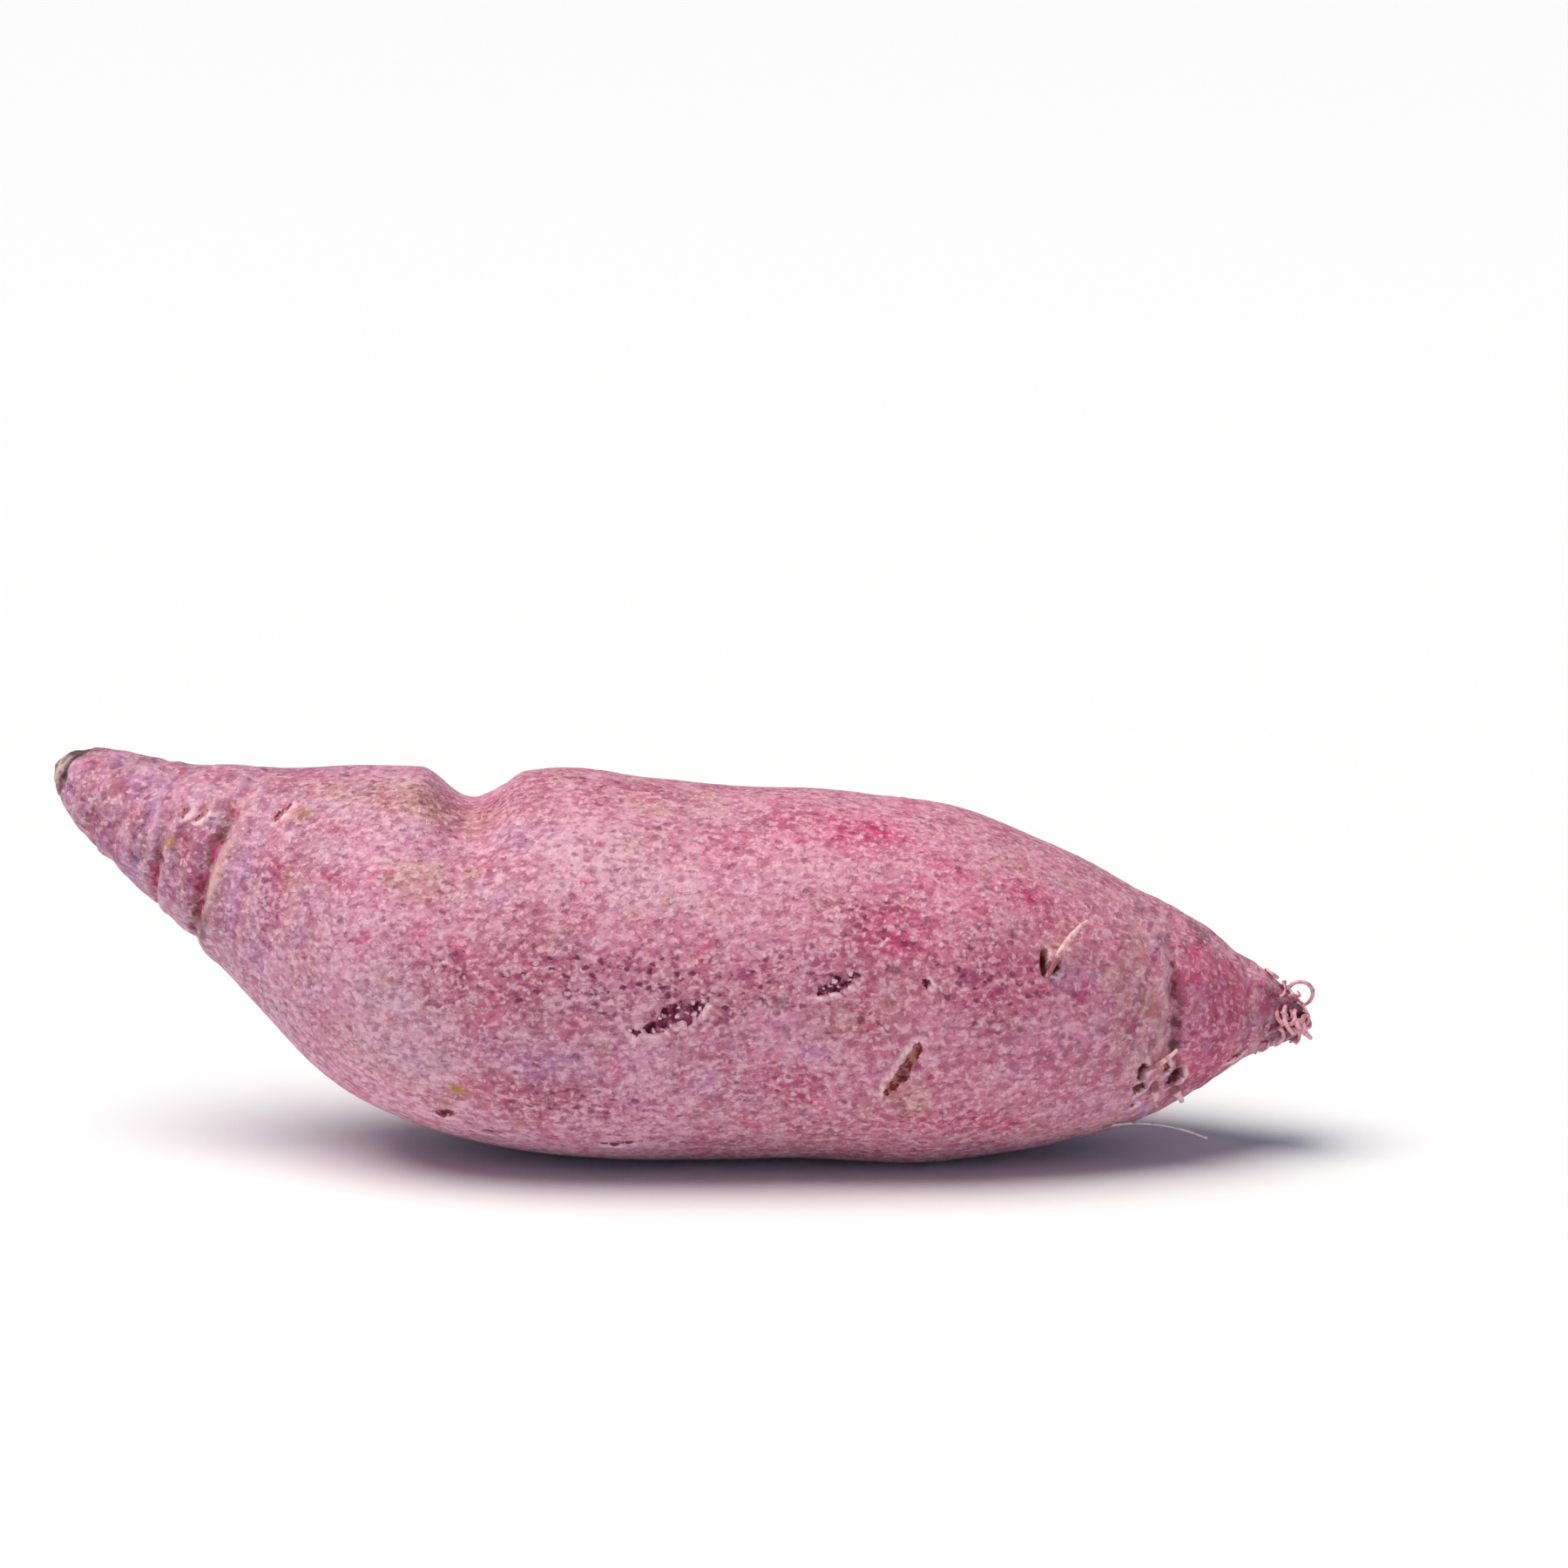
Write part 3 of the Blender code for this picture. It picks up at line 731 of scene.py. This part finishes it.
def carve_root(root):
    """Carves the skin's relief into the pulled root, and keeps masks of what lies where."""
    places = corners_of(root)
    x, angle, radius = read_stations(places)
    places = places + outward_of(root) * soft_form(places, x, angle, radius)[:, None]
    move_corners(root, places)

    masks = {}
    crease_relief, masks["crease"], masks["lip"] = carve_creases(places, x, angle)
    scar_relief, *scar_masks = carve_scars(places, x, angle, radius)
    masks.update(zip(("scar", "torn", "deep_shade", "highlight_rim"), scar_masks))
    pit_relief, masks["pit"] = dot_pits(x, angle, radius)
    cork_relief, masks["cork"], masks["seam"] = roughen_cork(places, x)
    # Dusky patches, partly painted shade.
    masks["dusk_and_shade"] = patches(places, x, angle, DUSK_AND_SHADE_PATCHES, DUSK_AND_SHADE_SEED)
    masks["worn"] = ease(np.abs(x - WORN_MIDDLE), *WORN_FROM)
    masks["neck"] = ease(-x, *NECK_FROM)
    masks["ruddy"] = ease(x, *RUDDY_FROM)

    grain = waves_at(places, GRAIN) * (GRAIN_CALM + GRAIN_DUSKY * masks["dusk_and_shade"])
    wrinkles = waves_at(np.stack([x, angle, 0 * x], axis=1), WRINKLES)
    relief = crease_relief + scar_relief + pit_relief + grain
    relief += (wrinkles + waves_at(places, BUMPS)) * masks["worn"]
    relief += cork_relief
    places = places + outward_of(root) * relief[:, None]
    places[:, 2] = np.maximum(places[:, 2], BELLY_CUT)
    move_corners(root, places)

    for name, (rows, seed) in PATCH_MASKS.items():
        masks[name] = patches(places, x, angle, rows, seed)
    for name, values in masks.items():
        paint(root, name, values)


def set_on_frame(piece, shift):
    """Moves a piece's mesh from the drawing's place onto the frame, and into metres."""
    piece.data.transform(Matrix.Translation(shift) @ Matrix.Scale(MM, 4))
    piece.data.update()


def colour(code):
    """The linear colour of an sRGB hex code."""
    parts = [int(code[i : i + 2], 16) / 255 for i in (1, 3, 5)]
    return tuple(c / 12.92 if c <= 0.04045 else ((c + 0.055) / 1.055) ** 2.4 for c in parts) + (1.0,)


def node(tree, kind, inputs=None, **settings):
    """Adds a node with its settings. An input is linked where a socket is given, and set where not."""
    made = tree.nodes.new(kind)
    for name, value in settings.items():
        setattr(made, name, value)
    for name, value in (inputs or {}).items():
        if isinstance(value, bpy.types.NodeSocket):
            tree.links.new(value, made.inputs[name])
        else:
            made.inputs[name].default_value = value
    return made


def new_material(name):
    """A material with only its Principled BSDF."""
    material = bpy.data.materials.new(name)
    material.use_nodes = True
    return material, material.node_tree, material.node_tree.nodes["Principled BSDF"]


class Mixer:
    """Short names for the nodes that a material's colours are mixed with."""

    # A round dot is full out to this share of its reach, and dots fade in and out over this much chance.
    DOT_CORE = 0.45
    DOT_CHANCE = 0.04

    def __init__(self, tree):
        self.tree = tree

    def mask(self, name):
        """A mask that paint() kept on the piece."""
        return node(self.tree, "ShaderNodeAttribute", attribute_name=name).outputs["Fac"]

    def noise_node(self, vector, size, detail, roughness=0.55):
        """A noise whose lumps are about this size."""
        inputs = {"Vector": vector, "Scale": 1 / size, "Detail": detail, "Roughness": roughness}
        return node(self.tree, "ShaderNodeTexNoise", inputs)

    def cloud(self, vector, size, detail, roughness=0.55):
        """Such a noise, as one value."""
        return self.noise_node(vector, size, detail, roughness).outputs["Fac"]

    def three_clouds(self, vector, size, detail):
        """Such a noise, as three values that go their own ways."""
        hues = self.noise_node(vector, size, detail).outputs["Color"]
        return node(self.tree, "ShaderNodeSeparateXYZ", {"Vector": hues}).outputs

    def spread(self, value, low, high, to_low=0.0, to_high=1.0, course="SMOOTHSTEP"):
        """What lies from low to high, spread out from to_low to to_high on a smooth or a linear course."""
        inputs = {"Value": value, "From Min": low, "From Max": high, "To Min": to_low, "To Max": to_high}
        return node(self.tree, "ShaderNodeMapRange", inputs, interpolation_type=course).outputs[0]

    def broken_mask(self, name, cloud, low, high, to_low=0.0, to_high=1.0):
        """A mask broken up by a cloud that is spread in this way."""
        return self.times(self.mask(name), self.spread(cloud, low, high, to_low, to_high))

    def times(self, a, b):
        """The product of two values."""
        return node(self.tree, "ShaderNodeMath", {0: a, 1: b}, operation="MULTIPLY").outputs[0]

    def plus(self, a, b):
        """The sum of two values."""
        return node(self.tree, "ShaderNodeMath", {0: a, 1: b}, operation="ADD").outputs[0]

    def over(self, under, top, share):
        """A colour laid over another by its share. Each colour is a socket or a hex code."""
        under, top = (colour(tone) if isinstance(tone, str) else tone for tone in (under, top))
        return node(self.tree, "ShaderNodeMix", {0: share, 6: under, 7: top}, data_type="RGBA").outputs[2]

    def dots(self, vector, apart, reach, share):
        """Round dots: how far apart they lie, how far each reaches, and the share of places with one."""
        cell = node(self.tree, "ShaderNodeTexVoronoi", {"Vector": vector, "Scale": 1 / apart})
        chance = node(self.tree, "ShaderNodeSeparateXYZ", {"Vector": cell.outputs["Color"]}).outputs[0]
        near = self.spread(cell.outputs["Distance"], reach / apart, self.DOT_CORE * reach / apart)
        fading = self.spread(chance, share + self.DOT_CHANCE, share - self.DOT_CHANCE)
        return self.times(near, fading)


def skin_clouds(mix):
    """The noises that break up the skin's colours. Their sizes are in millimetres."""
    tree = mix.tree
    place = node(tree, "ShaderNodeTexCoord").outputs["Object"]
    millimetres = node(tree, "ShaderNodeMapping", {"Vector": place, "Scale": (1000, 1000, 1000)}).outputs[0]
    jitter = mix.noise_node(millimetres, 0.9, 1).outputs["Color"]
    warp = {0: jitter, 1: (1.1, 1.1, 1.1), 2: millimetres}
    warped = node(tree, "ShaderNodeVectorMath", warp, operation="MULTIPLY_ADD").outputs[0]
    drawn_out = node(tree, "ShaderNodeMapping", {"Vector": warped, "Scale": (0.68, 1, 1)}).outputs[0]
    fibres = node(tree, "ShaderNodeMapping", {"Vector": warped, "Scale": (0.24, 1, 1)}).outputs[0]
    round_neck = {"Vector": warped, "Rotation": (0, math.radians(22), 0), "Scale": (1, 2.8, 2.8)}
    ringed = node(tree, "ShaderNodeMapping", round_neck, vector_type="TEXTURE").outputs[0]
    broad = mix.cloud(millimetres, 18.0, 3)
    return SimpleNamespace(
        warped=warped,
        ringed=ringed,
        broad=broad,
        middling=mix.cloud(millimetres, 5.0, 4),
        fine=mix.cloud(millimetres, 2.0, 3, 0.6),
        streak=mix.cloud(fibres, 1.1, 3, 0.6),
        grain=mix.cloud(drawn_out, 1.0, 2, 0.6),
        hues=mix.three_clouds(millimetres, 6.5, 3),
        pocks=mix.dots(drawn_out, 1.4, 0.52, 0.92),
        pimples=mix.dots(warped, 1.3, 0.5, 0.8),
        broken=mix.plus(mix.cloud(warped, 1.3, 2, 0.6), -0.5),
        dusk_and_shade=mix.plus(mix.mask("dusk_and_shade"), mix.spread(broad, 0.5, 0.75, 0.0, 0.35)),
    )


def ground_colour(mix, clouds):
    """The ground: rose, tan and lilac that wander from place to place, with blushes, pale bloom that is
    partly painted highlight, and dusky bands that are partly painted shade.
    """
    rosy, tawny, violet = clouds.hues
    skin = mix.over("#da96b0", "#c47b90", mix.spread(clouds.broad, 0.4, 0.62))
    skin = mix.over(skin, "#e8b3c6", mix.spread(clouds.middling, 0.46, 0.68, 0.0, 0.6))
    skin = mix.over(skin, "#e4889c", mix.times(mix.mask("ruddy"), 0.32))
    # Pale bloom, painted highlight on the upper front and the neck's top.
    skin = mix.over(skin, "#ecc4d0", mix.broken_mask("bloom_and_highlight", clouds.fine, 0.35, 0.6, 0.3, 0.6))
    tan = mix.broken_mask("tan", clouds.middling, 0.3, 0.65, 0.45, 1.0)
    skin = mix.over(skin, "#c89a86", mix.plus(tan, mix.spread(tawny, 0.55, 0.7, 0.0, 0.45)))
    lilac = mix.broken_mask("lilac", clouds.fine, 0.35, 0.6, 0.25, 0.65)
    skin = mix.over(skin, "#bb92c0", mix.plus(lilac, mix.spread(violet, 0.56, 0.7, 0.0, 0.3)))
    rose = mix.over("#e65088", "#b82c62", mix.spread(clouds.fine, 0.4, 0.62))
    blush = mix.broken_mask("blush", clouds.fine, 0.36, 0.62, 0.45, 1.0)
    skin = mix.over(skin, rose, mix.plus(blush, mix.spread(rosy, 0.55, 0.7, 0.0, 0.5)))
    # The dusky darkening: partly the skin's own plum, partly painted shade low on the front and a painted
    # shadow along the top.
    return mix.over(skin, "#b4586f", mix.times(clouds.dusk_and_shade, 0.5))


def worn_colour(mix, clouds, skin):
    """The neck and the tip, worn into rings of crimson, lilac, tan and plum, with deeper blushes."""
    blotch = mix.cloud(clouds.ringed, 1.5, 2)
    crimson, violet, tawny = mix.three_clouds(clouds.ringed, 2.2, 2)
    rings = (
        ("#b0406e", mix.spread(crimson, 0.5, 0.64, 0.0, 0.8)),
        ("#b58cbc", mix.spread(violet, 0.54, 0.68, 0.0, 0.6)),
        ("#bb8f7c", mix.spread(tawny, 0.54, 0.68, 0.0, 0.6)),
        ("#7c3c5a", mix.spread(blotch, 0.47, 0.34, 0.0, 0.75)),
        ("#eebccb", mix.spread(blotch, 0.55, 0.7, 0.0, 0.6)),
    )
    worn, neck, ruddy = (mix.mask(name) for name in ("worn", "neck", "ruddy"))
    for tone, share in rings:
        skin = mix.over(skin, tone, mix.times(worn, share))
    deeper = mix.over("#a02a54", "#cc4870", ruddy)
    both_ends = mix.plus(neck, mix.times(ruddy, worn))
    skin = mix.over(skin, deeper, mix.times(mix.times(mix.mask("blush"), both_ends), 0.6))
    skin = mix.over(skin, "#cc84c4", mix.times(mix.times(mix.mask("lilac"), neck), 0.35))
    return mix.over(skin, "#a883a2", mix.times(neck, mix.spread(clouds.middling, 0.35, 0.6, 0.12, 0.42)))


def speckled_colour(mix, clouds, skin):
    """The finest colours: pale streaks and pimples, and plum valleys and pocks, calmer at the worn ends."""
    calm = mix.spread(mix.mask("worn"), 0.0, 1.0, 1.0, 0.6)
    skin = mix.over(skin, "#f0c3d2", mix.spread(clouds.streak, 0.54, 0.7, 0.0, 0.5))
    valleys = mix.times(mix.spread(clouds.grain, 0.5, 0.36), mix.spread(clouds.dusk_and_shade, 0.0, 1.0, 0.5, 0.85))
    skin = mix.over(skin, "#9a436a", mix.times(valleys, calm))
    skin = mix.over(skin, "#f3c3d2", mix.times(mix.spread(clouds.grain, 0.53, 0.65, 0.0, 0.55), calm))
    pocked = mix.times(mix.spread(clouds.dusk_and_shade, 0.0, 1.0, 0.36, 0.9), calm)
    skin = mix.over(skin, "#661c40", mix.times(clouds.pocks, pocked))
    return mix.over(skin, "#f8ccd9", mix.times(clouds.pimples, mix.spread(clouds.dusk_and_shade, 0.0, 1.0, 0.5, 0.6)))


def crease_colour(mix, clouds, skin):
    """The dark line of each ring crease, partly its own brown and crimson and partly painted shade in the
    fold, the pale lip, and the ochre spots.
    """
    crease = mix.plus(mix.mask("crease"), mix.times(clouds.broken, 1.3))
    bottom = mix.over("#84503f", "#8a4450", mix.mask("ruddy"))
    bottom = mix.over(bottom, "#aa3059", mix.broken_mask("neck", clouds.middling, 0.6, 0.44))
    # The crease's dark line: its own brown and crimson, deepened by painted shade in the fold, darkest in its
    # middle.
    skin = mix.over(skin, bottom, mix.spread(crease, 0.1, 0.7, 0.0, 0.88))
    skin = mix.over(skin, "#54182a", mix.spread(crease, 0.55, 0.85, 0.0, 0.8))
    skin = mix.over(skin, "#dfb6a4", mix.broken_mask("lip", clouds.fine, 0.38, 0.6, 0.3, 0.9))
    return mix.over(skin, "#b0803f", mix.broken_mask("ochre", clouds.fine, 0.35, 0.6, 0.4, 1.0))


def scar_colour(mix, clouds, skin):
    """The scars: pale rims on one side, painted highlights, and brown floors with painted shade where deep,
    with dark pits and pale beads in the ragged ones. The second value is where the floors lie."""
    # The pale rim on one side of each scar, a painted highlight.
    skin = mix.over(skin, "#ffdae2", mix.broken_mask("highlight_rim", clouds.fine, 0.35, 0.55, 0.45, 1.0))
    ragged = mix.mask("torn")
    scar = mix.plus(mix.mask("scar"), mix.times(clouds.broken, mix.spread(ragged, 0.3, 0.6, 0.9, 1.5)))
    sunk = mix.spread(scar, 0.42, 0.58)
    torn = mix.times(sunk, mix.spread(ragged, 0.3, 0.6))
    bark = mix.over("#7c262a", "#b47a70", mix.spread(mix.cloud(clouds.warped, 1.2, 2), 0.42, 0.6))
    skin = mix.over(skin, bark, sunk)
    skin = mix.over(skin, mix.over("#8c3c5c", "#c07c96", mix.spread(clouds.fine, 0.48, 0.6)), torn)
    skin = mix.over(skin, "#500a26", mix.times(torn, mix.dots(clouds.warped, 1.5, 1.05, 1.0)))
    skin = mix.over(skin, "#ffcade", mix.times(torn, mix.dots(clouds.warped, 1.25, 0.55, 0.6)))
    # Painted shade on the deepest scar floors.
    skin = mix.over(skin, "#46081c", mix.times(mix.mask("deep_shade"), 0.85))
    return mix.over(skin, "#5c2340", mix.times(mix.mask("pit"), 0.7)), sunk


def end_colour(mix, clouds, skin):
    """The cork on the stem scar, the dark seam round it, the dark old skin of the stem end, and painted shade
    on the root tip under its tangle.
    """
    rough = mix.plus(clouds.fine, mix.times(clouds.broken, 0.3))
    cork = mix.over("#7a5452", "#c9b4aa", mix.spread(rough, 0.36, 0.6))
    skin = mix.over(skin, cork, mix.mask("cork"))
    skin = mix.over(skin, "#3c0c1a", mix.broken_mask("seam", clouds.middling, 0.4, 0.52, 0.35, 1.0))
    # Dark old skin on the stem end, and painted shade on the root tip under its tangle.
    dark_end_and_shade = mix.over("#4c3238", "#560f2e", mix.mask("ruddy"))
    return mix.over(skin, dark_end_and_shade, mix.broken_mask("dark_end_and_shade", clouds.fine, 0.35, 0.55, 0.5, 1.0))


def purple_skin():
    """Sweet potato periderm, a thin dry cork skin, washed and dried. It is matt and a little dusty. Its
    colour breaks into pale pimples and plum pocks under a millimetre across, drawn out along the root, and
    wanders between rose, tan and lilac from one place to the next. Painted light is laid into the colour:
    highlights on the upper front, the neck's top and one side of each scar, a shadow along the top, and shade
    low on the front, in the creases, in the deepest scars and under the tip's tangle. Some light gets into
    the flesh."""
    material, tree, shader = new_material("sweet_potato_periderm")
    mix = Mixer(tree)
    clouds = skin_clouds(mix)
    skin = ground_colour(mix, clouds)
    skin = worn_colour(mix, clouds, skin)
    skin = speckled_colour(mix, clouds, skin)
    skin = crease_colour(mix, clouds, skin)
    skin, sunk = scar_colour(mix, clouds, skin)
    skin = end_colour(mix, clouds, skin)
    tree.links.new(skin, shader.inputs["Base Color"])

    lines = mix.plus(mix.times(clouds.streak, 0.6), mix.times(clouds.grain, 0.6))
    dots = mix.plus(mix.times(clouds.pimples, 0.35), mix.times(clouds.pocks, -0.45))
    height = mix.plus(mix.plus(mix.times(clouds.fine, 0.9), lines), dots)
    bump = node(tree, "ShaderNodeBump", {"Height": height, "Distance": 0.0004, "Strength": 0.62})
    tree.links.new(bump.outputs[0], shader.inputs["Normal"])
    tree.links.new(mix.spread(clouds.grain, 0.3, 0.7, 0.75, 0.52), shader.inputs["Roughness"])
    tree.links.new(mix.spread(sunk, 0.0, 1.0, 0.35, 0.1), shader.inputs["Specular IOR Level"])
    shader.inputs["Subsurface Weight"].default_value = 0.06
    shader.inputs["Subsurface Radius"].default_value = (0.0012, 0.0005, 0.0006)
    shader.inputs["Sheen Weight"].default_value = 0.1
    shader.inputs["Sheen Roughness"].default_value = 0.45
    return material


def skin_frame(x, angle):
    """A place on the smooth skin, with its outward and lengthwise directions."""
    low, high = 0.0, KNOTS[-1]
    for _ in range(HALVINGS):
        middle = (low + high) / 2
        low, high = (middle, high) if sections_at(np.array([middle]))[0][0] < x else (low, middle)
    along = np.array([low])
    section = sections_at(along)[0]
    heading, up, front = (Vector(rows[0]) for rows in frames_at(along))
    turn = math.radians(angle)
    out = up * math.cos(turn) + front * math.sin(turn) * WIDTH_TO_HEIGHT
    place = Vector(section[:3]) + out * section[3]
    grow = (sections_at(along + 1)[0][3] - sections_at(along - 1)[0][3]) / 2
    lengthwise = (heading + out * grow).normalized()
    downhill = (front * math.cos(turn) - up * math.sin(turn)).normalized()
    return place, downhill.cross(lengthwise).normalized(), lengthwise


def rootlet_path(x, angle, length, lean, heading, bend, sweep):
    """The line of one rootlet: it leaves the skin leaning over, then bends down, or up where the bend is
    negative, and sweeps sideways."""
    place, out, lengthwise = skin_frame(x, angle)
    across = Quaternion(out, math.radians(-heading)) @ lengthwise
    step = length / ROOTLET_JOINTS
    start = out * math.cos(math.radians(lean)) + across * math.sin(math.radians(lean))
    points = [place - start * ROOTLET_SUNK]
    point, ahead, hinge = place, start, out.cross(start)
    aside = Quaternion(out, math.radians(sweep / ROOTLET_JOINTS))
    for _ in range(ROOTLET_JOINTS):
        points.append(point)
        down = Quaternion(hinge, math.radians(bend / ROOTLET_JOINTS))
        ahead, hinge = aside @ (down @ ahead), aside @ hinge
        point = point + ahead * step
    points.append(point)
    return points


def string_rootlets(name, rows):
    """One piece of several rootlets: a bevelled curve along each, with its girth from its three radii."""
    line = bpy.data.curves.new(name, "CURVE")
    line.dimensions = "3D"
    line.bevel_depth = 1.0
    line.bevel_resolution = 2
    line.use_fill_caps = True
    middles, shares = [], []
    for x, angle, length, base, middle, end, lean, heading, bend, sweep in rows:
        points = rootlet_path(x, angle, length, lean, heading, bend, sweep)
        spline = line.splines.new("POLY")
        spline.points.add(len(points) - 1)
        for i, point in enumerate(points):
            t = i / (len(points) - 1)
            radius = base * (1 - t) ** 2 + 2 * middle * t * (1 - t) + end * t**2
            spline.points[i].co = (*point, 1.0)
            spline.points[i].radius = radius * (1 + ROOTLET_GNARL * noise.noise(point * GNARL_SCALE))
            middles.append(tuple(point))
            shares.append(t)
    piece = bpy.data.objects.new(name, line)
    bpy.context.scene.collection.objects.link(piece)
    bpy.ops.object.select_all(action="DESELECT")
    piece.select_set(True)
    bpy.context.view_layer.objects.active = piece
    bpy.ops.object.convert(target="MESH")
    bpy.ops.object.shade_smooth()
    piece = bpy.context.object
    apart = ((corners_of(piece)[:, None, :] - np.array(middles)[None, :, :]) ** 2).sum(axis=2)
    paint(piece, "share", np.array(shares)[apart.argmin(axis=1)])
    return piece


def tangle_rows():
    """The loop and the curls round the tip. The short curls are placed by a seeded draw, evenly round it."""
    draw = random.Random(CURL_SEED)
    made = [TIP_LOOP, *TIP_CURLS]
    for k in range(CURL_COUNT):
        x = CURL_FROM + (CURL_TO - CURL_FROM) * (k + draw.random()) / CURL_COUNT
        angle = (k * GOLDEN_ANGLE + draw.uniform(*CURL_ASIDE)) % 360
        length = draw.uniform(*CURL_LENGTH)
        lean, heading = draw.uniform(*CURL_LEAN), draw.uniform(*CURL_HEADING)
        bend, sweep = draw.uniform(*CURL_BEND), draw.choice((-1, 1)) * draw.uniform(*CURL_SWEEP)
        radius = draw.uniform(*CURL_RADIUS)
        girth = (radius * CURL_BASE, radius, radius * CURL_END)
        made.append((x, angle, length, *girth, lean, heading, bend, sweep))
    return made


def rootlet_skin(name, dark, pale, paler_from):
    """A fine root with a thin dull skin: darker at its base, where bark covers it, paler and mottled past
    the share of its length that is given."""
    material, tree, shader = new_material(name)
    mix = Mixer(tree)
    place = node(tree, "ShaderNodeTexCoord").outputs["Object"]
    mottle = mix.cloud(place, 1 / 900, 4, 0.6)
    lift = mix.spread(mix.mask("share"), 0.5 * paler_from, paler_from, -0.35, 0.1, "LINEAR")
    share = mix.spread(mix.plus(mottle, lift), 0.36, 0.62, course="LINEAR")
    tree.links.new(mix.over(dark, pale, share), shader.inputs["Base Color"])
    bump = node(tree, "ShaderNodeBump", {"Height": mottle, "Distance": 0.00015, "Strength": 0.6})
    tree.links.new(bump.outputs[0], shader.inputs["Normal"])
    shader.inputs["Roughness"].default_value = 0.6
    return material


def lay_floor():
    """A wide white matt sheet, so wide that the camera never sees past it."""
    bpy.ops.object.select_all(action="DESELECT")
    bpy.ops.mesh.primitive_plane_add(size=FLOOR_SIZE, location=(0, 0, 0))
    floor = bpy.context.object
    floor.name = "floor"
    material, _, shader = new_material("white_matt_sheet")
    shader.inputs["Base Color"].default_value = colour("#f6fcfe")
    shader.inputs["Roughness"].default_value = 0.85
    shader.inputs["Specular IOR Level"].default_value = 0.12
    floor.data.materials.append(material)


def light_tent():
    """A light tent: dim above, brighter low down, with a thin white strip where the floor ends."""
    world = bpy.data.worlds.new("light_tent")
    world.use_nodes = True
    tree = world.node_tree
    mix = Mixer(tree)
    direction = node(tree, "ShaderNodeTexCoord").outputs["Generated"]
    rise = node(tree, "ShaderNodeSeparateXYZ", {"Vector": direction}).outputs["Z"]
    glow = mix.spread(rise, TENT_LOW, TENT_HIGH, TENT_EDGE, TENT_DIM, "LINEAR")
    strip = mix.spread(rise, STRIP_LOW, STRIP_HIGH, STRIP_GLOW, 0.0, "LINEAR")
    tree.links.new(mix.plus(glow, strip), tree.nodes["Background"].inputs["Strength"])
    tree.nodes["Background"].inputs["Color"].default_value = colour(TENT_TINT)
    bpy.context.scene.world = world


def overhead_light():
    """The main light: wide and soft, from above on the stem end's side."""
    light = bpy.data.lights.new("overhead", "SUN")
    light.energy = OVERHEAD_STRENGTH
    light.color = colour(OVERHEAD_TINT)[:3]
    light.angle = math.radians(OVERHEAD_SPREAD)
    lamp = bpy.data.objects.new("overhead", light)
    lamp.rotation_euler = (-Vector(OVERHEAD_FROM)).to_track_quat("-Z", "Y").to_euler()
    bpy.context.scene.collection.objects.link(lamp)


def place_camera():
    """The camera at the photograph's height, looking along +Y."""
    lens = bpy.data.cameras.new("camera")
    lens.lens = LENS
    lens.sensor_width = 36.0
    lens.clip_start = 0.01
    lens.clip_end = 100.0
    camera = bpy.data.objects.new("camera", lens)
    pitch = math.radians(CAMERA_PITCH)
    back = Vector((0, -math.cos(pitch), math.sin(pitch))) * CAMERA_DISTANCE
    camera.location = (Vector(CAMERA_AIM) + back) * MM
    camera.rotation_euler = (math.radians(90) - pitch, 0, 0)
    bpy.context.scene.collection.objects.link(camera)
    bpy.context.scene.camera = camera


place_camera()
light_tent()
overhead_light()
lay_floor()
bpy.context.scene.view_settings.view_transform = "Standard"

# The lowest corner of the skin's box goes where the CAD root's is, and the rootlets move with it.
tuber_skin = pull_root()
carve_root(tuber_skin)
low_corner = Vector(corners_of(tuber_skin).min(axis=0))
frame_shift = Vector(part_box("tuber")[0]) - low_corner * MM
set_on_frame(tuber_skin, frame_shift)
for polygon in tuber_skin.data.polygons:
    polygon.use_smooth = True
tuber_skin.data.materials.append(purple_skin())

rootlets = string_rootlets("rootlets", ROOTLETS)
rootlets.data.materials.append(rootlet_skin("pink_rootlet_skin", "#a8646a", "#f8c9c6", 0.35))
hair = string_rootlets("hair_root", HAIRS)
hair.data.materials.append(rootlet_skin("grey_hair_root", "#8d7f7b", "#ddd2cd", 0.1))
tip_tangle = string_rootlets("tip_tangle", tangle_rows())
tip_tangle.data.materials.append(rootlet_skin("tangled_root_fibre", "#8e3c54", "#f2b4be", 0.2))
for piece in (rootlets, hair, tip_tangle):
    set_on_frame(piece, frame_shift)

for piece in (tuber_skin, rootlets, hair, tip_tangle):
    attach(piece, "root")
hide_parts("tuber")
